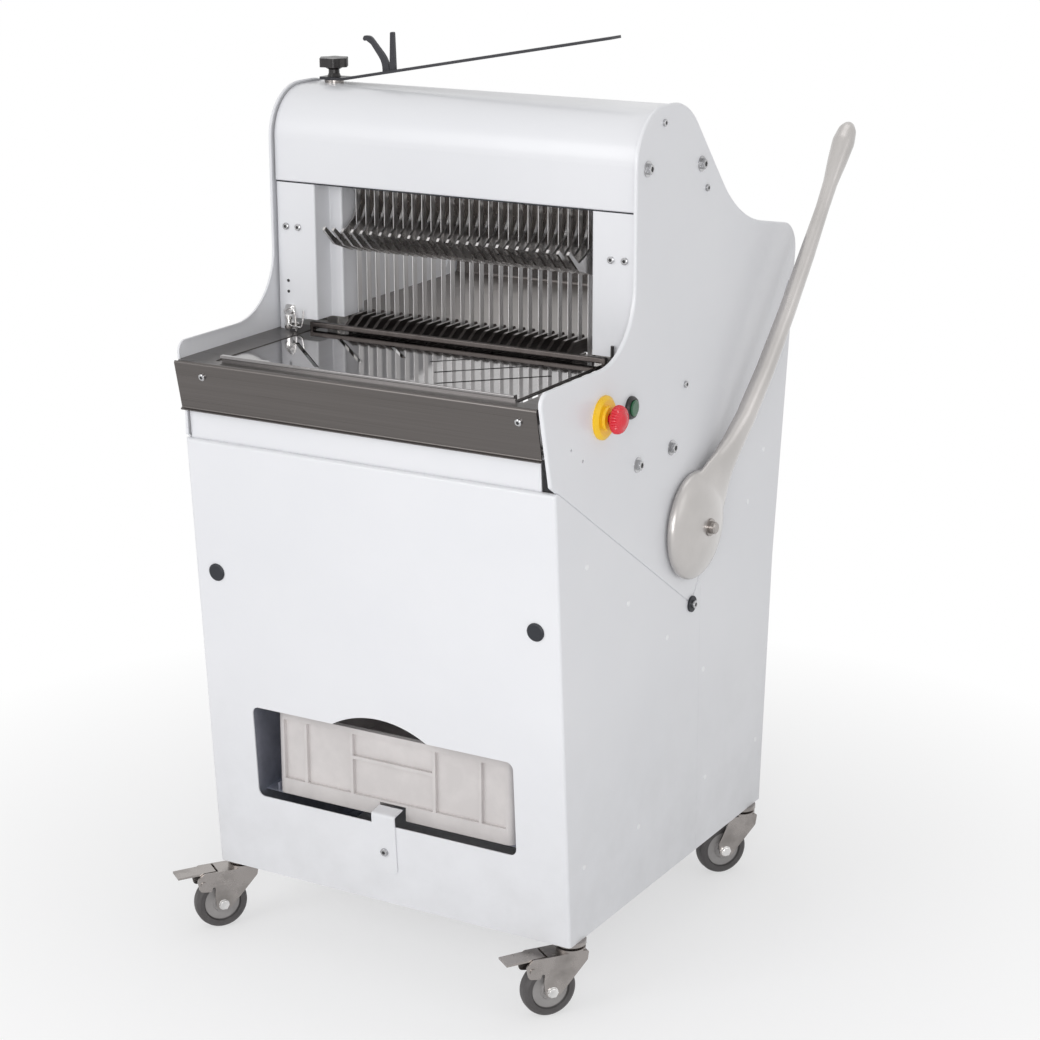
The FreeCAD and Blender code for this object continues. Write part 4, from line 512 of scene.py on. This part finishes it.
# Each ring of the rim: place along the stem, how far in from the full radius, depth of the grooves.
rim_rings = [(0.0255, 0.0016, 0.0004), (0.028, 0.0002, 0.0013), (0.0325, 0.0006, 0.0015),
             (0.0362, 0.0028, 0.0013), (0.0385, 0.0062, 0.0004)]
rim = [(along, grooved(button_radius - inset, depth)) for along, inset, depth in rim_rings]
face = [(0.0398, 0.0112), (0.0394, 0.0102), (0.0398, 0.0092), (0.0418, 0.0058), (0.0427, 0.0012)]
button = bmesh.new()
turned_on(button, stem + rim + face, 168, (button_low[0], *button_middle[1:]), (1, 0, 0))
red_plastic = moulded("red plastic", (0.70, 0.012, 0.03), 0.3, coat=0.3)
ribbed = added("ribbed_stop_button", button, red_plastic, "stop")
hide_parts("stop_button")

# ---------------------------------------------------------------- feed lever
# Cast alloy in one piece: a domed hub, a shoulder that flows from it, an oval arm and a swollen grip.
# It is ground smooth, lacquered a warm light grey, and glossy where hands have polished it.

lever_hinge = next(joint for joint in frame["joints"] if joint["child"] == "lever")
hub_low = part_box("feed_lever")[0]
hub_centre = Vector((hub_low[0], *lever_hinge["pos_m"][1:]))
hub_reach, hub_rise, hub_skirt, hub_flat = hub_centre.z - hub_low[2], 0.030, 0.006, 0.014
dome_steps = 12
casting = bmesh.new()
dome = [(0, hub_reach - 0.002), (0.003, hub_reach), (hub_skirt, hub_reach)]
for i in range(1, dome_steps + 1):
    swing = math.pi / 2 * i / dome_steps
    dome.append((hub_skirt + (hub_rise - hub_skirt) * math.sin(swing),
                 hub_flat + (hub_reach - hub_flat) * math.cos(swing) ** 1.25))
turned_on(casting, dome, 96, hub_centre, (1, 0, 0))
# Each stretch of the arm: place along it, half thickness, half width, and how far out its middle runs.
shoulder = [(0.004, 0.0102, 0.060, 0.0125), (0.034, 0.0106, 0.058, 0.0125), (0.060, 0.0110, 0.051, 0.0125),
            (0.082, 0.0118, 0.041, 0.0135), (0.104, 0.0128, 0.0305, 0.0155), (0.135, 0.0138, 0.0225, 0.02)]
shank = [(0.18, 0.014, 0.018, 0.0262), (0.26, 0.0136, 0.0155, 0.0315), (0.36, 0.0128, 0.0142, 0.0345),
         (0.46, 0.012, 0.0128, 0.035), (0.54, 0.0105, 0.0105, 0.0345)]
grip = [(0.586, 0.0112, 0.0115, 0.0335), (0.626, 0.015, 0.0152, 0.0325), (0.66, 0.0172, 0.0172, 0.032),
        (0.682, 0.014, 0.014, 0.032), (0.692, 0.008, 0.008, 0.032), (0.6955, 0.003, 0.003, 0.032)]
arm_sides, rest_angle = 32, math.radians(41)
arm_line = Vector((0, math.sin(rest_angle), math.cos(rest_angle)))
arm_side = Vector((0, math.cos(rest_angle), -math.sin(rest_angle)))
loops = []
for along, thick, wide, out in shoulder + shank + grip:
    core = hub_centre + arm_line * along + Vector((out, 0, 0))
    loop = []
    for i in range(arm_sides):
        angle = 2 * math.pi * i / arm_sides
        spoke = Vector((thick * math.cos(angle), 0, 0)) + arm_side * (wide * math.sin(angle))
        loop.append(casting.verts.new(core + spoke))
    loops.append(loop)
skinned(casting, loops)
bmesh.ops.recalc_face_normals(casting, faces=casting.faces)
raw_mesh = bpy.data.meshes.new("lever casting")
casting.to_mesh(raw_mesh)
casting.free()
raw_lever = bpy.data.objects.new("lever_casting", raw_mesh)
bpy.context.collection.objects.link(raw_lever)
fused = raw_lever.modifiers.new("fused", "REMESH")
fused.mode = "VOXEL"
fused.voxel_size = 0.0016
eased = raw_lever.modifiers.new("eased", "SMOOTH")
eased.factor = 0.6
eased.iterations = 16
ground = raw_lever.evaluated_get(bpy.context.evaluated_depsgraph_get())
lever_mesh = bpy.data.meshes.new_from_object(ground)
bpy.data.objects.remove(raw_lever)
lever_mesh.name = "feed lever"
for face in lever_mesh.polygons:
    face.use_smooth = True

lacquer, tree, shader, where = finish_of("lever lacquer", metallic=0.65, roughness=0.34, coat=0.6,
                                         coat_roughness=0.14)
skin = placed(tree, SKIN, where, Grain=260.0, Cloud=9.0)
warm_grey, worn_grey = (0.57, 0.545, 0.53), (0.49, 0.47, 0.455)
tone = mixed(tree, ranged(tree, skin.outputs["Cloud"], 0.35, 0.7, 0.0, 1.0), warm_grey, worn_grey)
tree.links.new(tone, shader.inputs["Base Color"])
tree.links.new(ranged(tree, skin.outputs["Cloud"], 0.3, 0.7, 0.27, 0.38), shader.inputs["Roughness"])
bumped(tree, shader, skin.outputs["Height"], distance=0.00003)
lever_mesh.materials.clear()
lever_mesh.materials.append(lacquer)
cast_lever = bpy.data.objects.new("cast_feed_lever", lever_mesh)
bpy.context.collection.objects.link(cast_lever)
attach(cast_lever, "lever")
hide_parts("feed_lever")

# ---------------------------------------------------------------- catch and latch at the table's back corners
# A chrome catch at the left holds the tray down: a spring barrel with a bent wire handle and its
# keeper. A black latch pin does the same at the right. Two dark screws sit in the jamb above the catch.


def bent_rod(name, points, radius, material):
    """A round rod on the cabinet, bent through points and made from a bevelled curve."""
    line = bpy.data.curves.new(name, "CURVE")
    line.dimensions = "3D"
    spline = line.splines.new("NURBS")
    spline.points.add(len(points) - 1)
    for place, point in zip(spline.points, points):
        place.co = (*point, 1)
    spline.order_u = 3
    spline.use_endpoint_u = True
    line.bevel_depth = radius
    line.bevel_resolution = 3
    line.use_fill_caps = True
    line.materials.append(material)
    thing = bpy.data.objects.new(name, line)
    bpy.context.collection.objects.link(thing)
    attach(thing, "machine")


jamb_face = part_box("jamb_left")[0][1]
catch_place, barrel_out = -0.268, 0.0155
barrel_rings = [(0, 0.0052), (0.0015, 0.006), (0.006, 0.006), (0.0065, 0.0045), (0.0135, 0.0045),
                (0.014, 0.006), (0.019, 0.006), (0.0205, 0.0048)]
barrel = bmesh.new()
turned_on(barrel, barrel_rings, 40, (catch_place, jamb_face - barrel_out, 0.893), (0, 0, 1))
added("catch_barrel", barrel, CHROME, "machine")
# Each bend of a rod: how far right of where it starts from, how far out of the jamb, and its height.
handle_bends = [(-0.004, barrel_out, 0.918), (0.004, 0.018, 0.926), (0.012, 0.018, 0.922),
                (0.0135, 0.016, 0.905), (0.0135, barrel_out, 0.8905)]
keeper_bends = [(0.0015, barrel_out, 0.897), (0.018, 0.019, 0.897), (0.028, 0.019, 0.8965),
                (0.0285, 0.018, 0.9215)]
latch_bends = [(0.262, 0.004, 0.9225), (0.262, 0.004, 0.910), (0.262, 0.005, 0.901), (0.264, 0.010, 0.8925),
               (0.272, 0.014, 0.8915)]
for name, start, bends, radius, material in (("catch_handle", catch_place, handle_bends, 0.0016, CHROME),
                                             ("catch_keeper", catch_place, keeper_bends, 0.0013, CHROME),
                                             ("latch_pin", 0, latch_bends, 0.0024, BLACK_PLASTIC)):
    points = [(start + right, jamb_face - out, height) for right, out, height in bends]
    bent_rod(name, points, radius, material)
screw_head = [(0, 0.0022), (0.0006, 0.0022), (0.0010, 0.0014)]
screw_heads = bmesh.new()
for height in (0.944, 0.960):
    turned_on(screw_heads, screw_head, 20, (-0.277, jamb_face, height), (0, -1, 0))
added("catch_screws", screw_heads, BLACK_PLASTIC, "machine")

# ---------------------------------------------------------------- cross rail under the apron
# One folded strip of the white sheet, screwed between the side plates. Its right end stops short of the
# plate, and its left end is drawn on here until it nearly meets the other one.

left_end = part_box("side_plate_left")[1][0] + 0.0008
folded = bmesh.new()
folded.from_mesh(nodes["front_rail"].data)
folded.transform(nodes["front_rail"].matrix_world)
for corner in folded.verts:
    if corner.co.x < 0:
        corner.co.x = left_end
long_rail = added("long_front_rail", folded, WHITE_COAT, "machine")
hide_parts("front_rail")

# ---------------------------------------------------------------- painted shadow strip under the hood
# A thin black strip under the hood's lower lip, painted shade for the shadow gap between the hood and
# the jambs. It runs from one side plate to the other.

strip_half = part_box("hood_cover")[1][0] - 0.001
strip_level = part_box("jamb_left")[1][2]
strip_back, strip_front, strip_rise = jamb_face + 0.0015, jamb_face - 0.0005, 0.0009
shadow_strip = bmesh.new()
corners = [(strip_back, -strip_rise), (strip_front, -strip_rise), (strip_front, strip_rise),
           (strip_back, strip_rise)]
ends = [[shadow_strip.verts.new((x, y, strip_level + z)) for y, z in corners] for x in (-strip_half, strip_half)]
skinned(shadow_strip, ends)
bmesh.ops.bevel(shadow_strip, geom=shadow_strip.edges[:], offset=0.0003, segments=2, affect="EDGES")
# The black rubber finish is used here as painted shade under the lip.
added("hood_shadow_strip", shadow_strip, BLACK_RUBBER, "machine")

# ---------------------------------------------------------------- drive inside the cabinet
# Grey enamelled motor, pulleys and bearing blocks of unpainted cast iron, and a crankshaft ground all
# over. They sit behind the panel and show only when the crate is out.

dress(moulded("motor enamel", (0.16, 0.19, 0.24), 0.42, depth=0.0001), "motor")
dress(moulded("cast iron", (0.09, 0.09, 0.095), 0.55, depth=0.0003),
      "crank_bearings", "crank_pulley", "motor_pulley")
dress(brushed_steel("ground shaft", (0.45, 0.45, 0.45), (0.58, 0.58, 0.57), stretch=(400, 400, 400),
                    roughness=(0.16, 0.28)), "crankshaft")

# ---------------------------------------------------------------- room
# A pale floor that fades to white a step away from the cabinet, an even white room, and four large
# soft lamps. The camera stands to the right, a little above the table.


def seen_directly(tree):
    """1 where the camera sees a surface, straight or in metal or glass, and 0 where it only lights others."""
    path = tree.nodes.new("ShaderNodeLightPath")
    mirrored = calculated(tree, "MAXIMUM", path.outputs["Is Glossy Ray"], path.outputs["Is Transmission Ray"])
    return calculated(tree, "MAXIMUM", path.outputs["Is Camera Ray"], mirrored)


def shown_as(tree, factor, first, second, kind):
    """Ends a tree with two shaders, mixed by a factor."""
    mix = tree.nodes.new("ShaderNodeMixShader")
    tree.links.new(factor, mix.inputs["Fac"])
    tree.links.new(first, mix.inputs[1])
    tree.links.new(second, mix.inputs[2])
    tree.links.new(mix.outputs["Shader"], tree.nodes.new("ShaderNodeOutput" + kind).inputs["Surface"])


floor_reach = 9.0
floor_mesh = bpy.data.meshes.new("floor")
floor_corners = [(x * floor_reach, y * floor_reach, 0) for x, y in ((-1, -1), (1, -1), (1, 1), (-1, 1))]
floor_mesh.from_pydata(floor_corners, [], [(0, 1, 2, 3)])
floor = bpy.data.objects.new("floor", floor_mesh)
bpy.context.collection.objects.link(floor)
pale_floor = bpy.data.materials.new("pale floor")
pale_floor.use_nodes = True
tree = pale_floor.node_tree
tree.nodes.clear()
matte = tree.nodes.new("ShaderNodeBsdfDiffuse")
matte.inputs["Color"].default_value = (0.86, 0.86, 0.87, 1)
glow = tree.nodes.new("ShaderNodeEmission")
glow.inputs["Color"].default_value = (1, 1, 1, 1)
away = tree.nodes.new("ShaderNodeVectorMath")
away.operation = "LENGTH"
tree.links.new(tree.nodes.new("ShaderNodeTexCoord").outputs["Object"], away.inputs[0])
fade = ranged(tree, away.outputs["Value"], 0.45, 1.3, 0.55, 1.0)
shown_as(tree, calculated(tree, "MULTIPLY", seen_directly(tree), fade), matte.outputs["BSDF"],
         glow.outputs["Emission"], "Material")
floor_mesh.materials.append(pale_floor)

world = bpy.data.worlds.new("white room")
bpy.context.scene.world = world
world.use_nodes = True
tree = world.node_tree
tree.nodes.clear()
walls = []
for strength in (0.52, 1.0):
    wall = tree.nodes.new("ShaderNodeBackground")
    wall.inputs["Color"].default_value = (1, 1, 1, 1)
    wall.inputs["Strength"].default_value = strength
    walls.append(wall.outputs["Background"])
shown_as(tree, seen_directly(tree), *walls, "World")

cabinet_middle = Vector((0, 0, 0.7))
for name, place, size, power in (("key lamp", (-1.3, -3.4, 2.3), 1.8, 32),
                                 ("fill lamp", (1.8, -3.3, 1.5), 1.4, 40),
                                 ("side lamp", (3.6, -0.2, 2.2), 2.0, 7),
                                 ("top lamp", (0.2, 0.8, 3.8), 2.0, 10)):
    softbox = bpy.data.lights.new(name, "AREA")
    softbox.shape = "SQUARE"
    softbox.size = size
    softbox.energy = power
    lamp = bpy.data.objects.new(name, softbox)
    bpy.context.collection.objects.link(lamp)
    lamp.location = place
    lamp.rotation_euler = (cabinet_middle - Vector(place)).to_track_quat("-Z", "Y").to_euler()

camera = bpy.data.objects.new("camera", bpy.data.cameras.new("camera"))
bpy.context.collection.objects.link(camera)
camera.data.sensor_width = 36
camera.data.lens = 87.1
camera.data.clip_end = 60
turn, down, roll = math.radians(30.35), math.radians(16.62), math.radians(-0.17)
ahead = Vector((-math.sin(turn) * math.cos(down), math.cos(turn) * math.cos(down), -math.sin(down)))
aside = Vector((math.cos(turn), math.sin(turn), 0))
above = aside.cross(ahead)
across = aside * math.cos(roll) + above * math.sin(roll)
upward = above * math.cos(roll) - aside * math.sin(roll)
pose = Matrix((across, upward, -ahead)).transposed().to_4x4()
pose.translation = (1.843, -3.076, 1.6745)
camera.matrix_world = pose
bpy.context.scene.camera = camera
bpy.context.scene.view_settings.view_transform = "Standard"
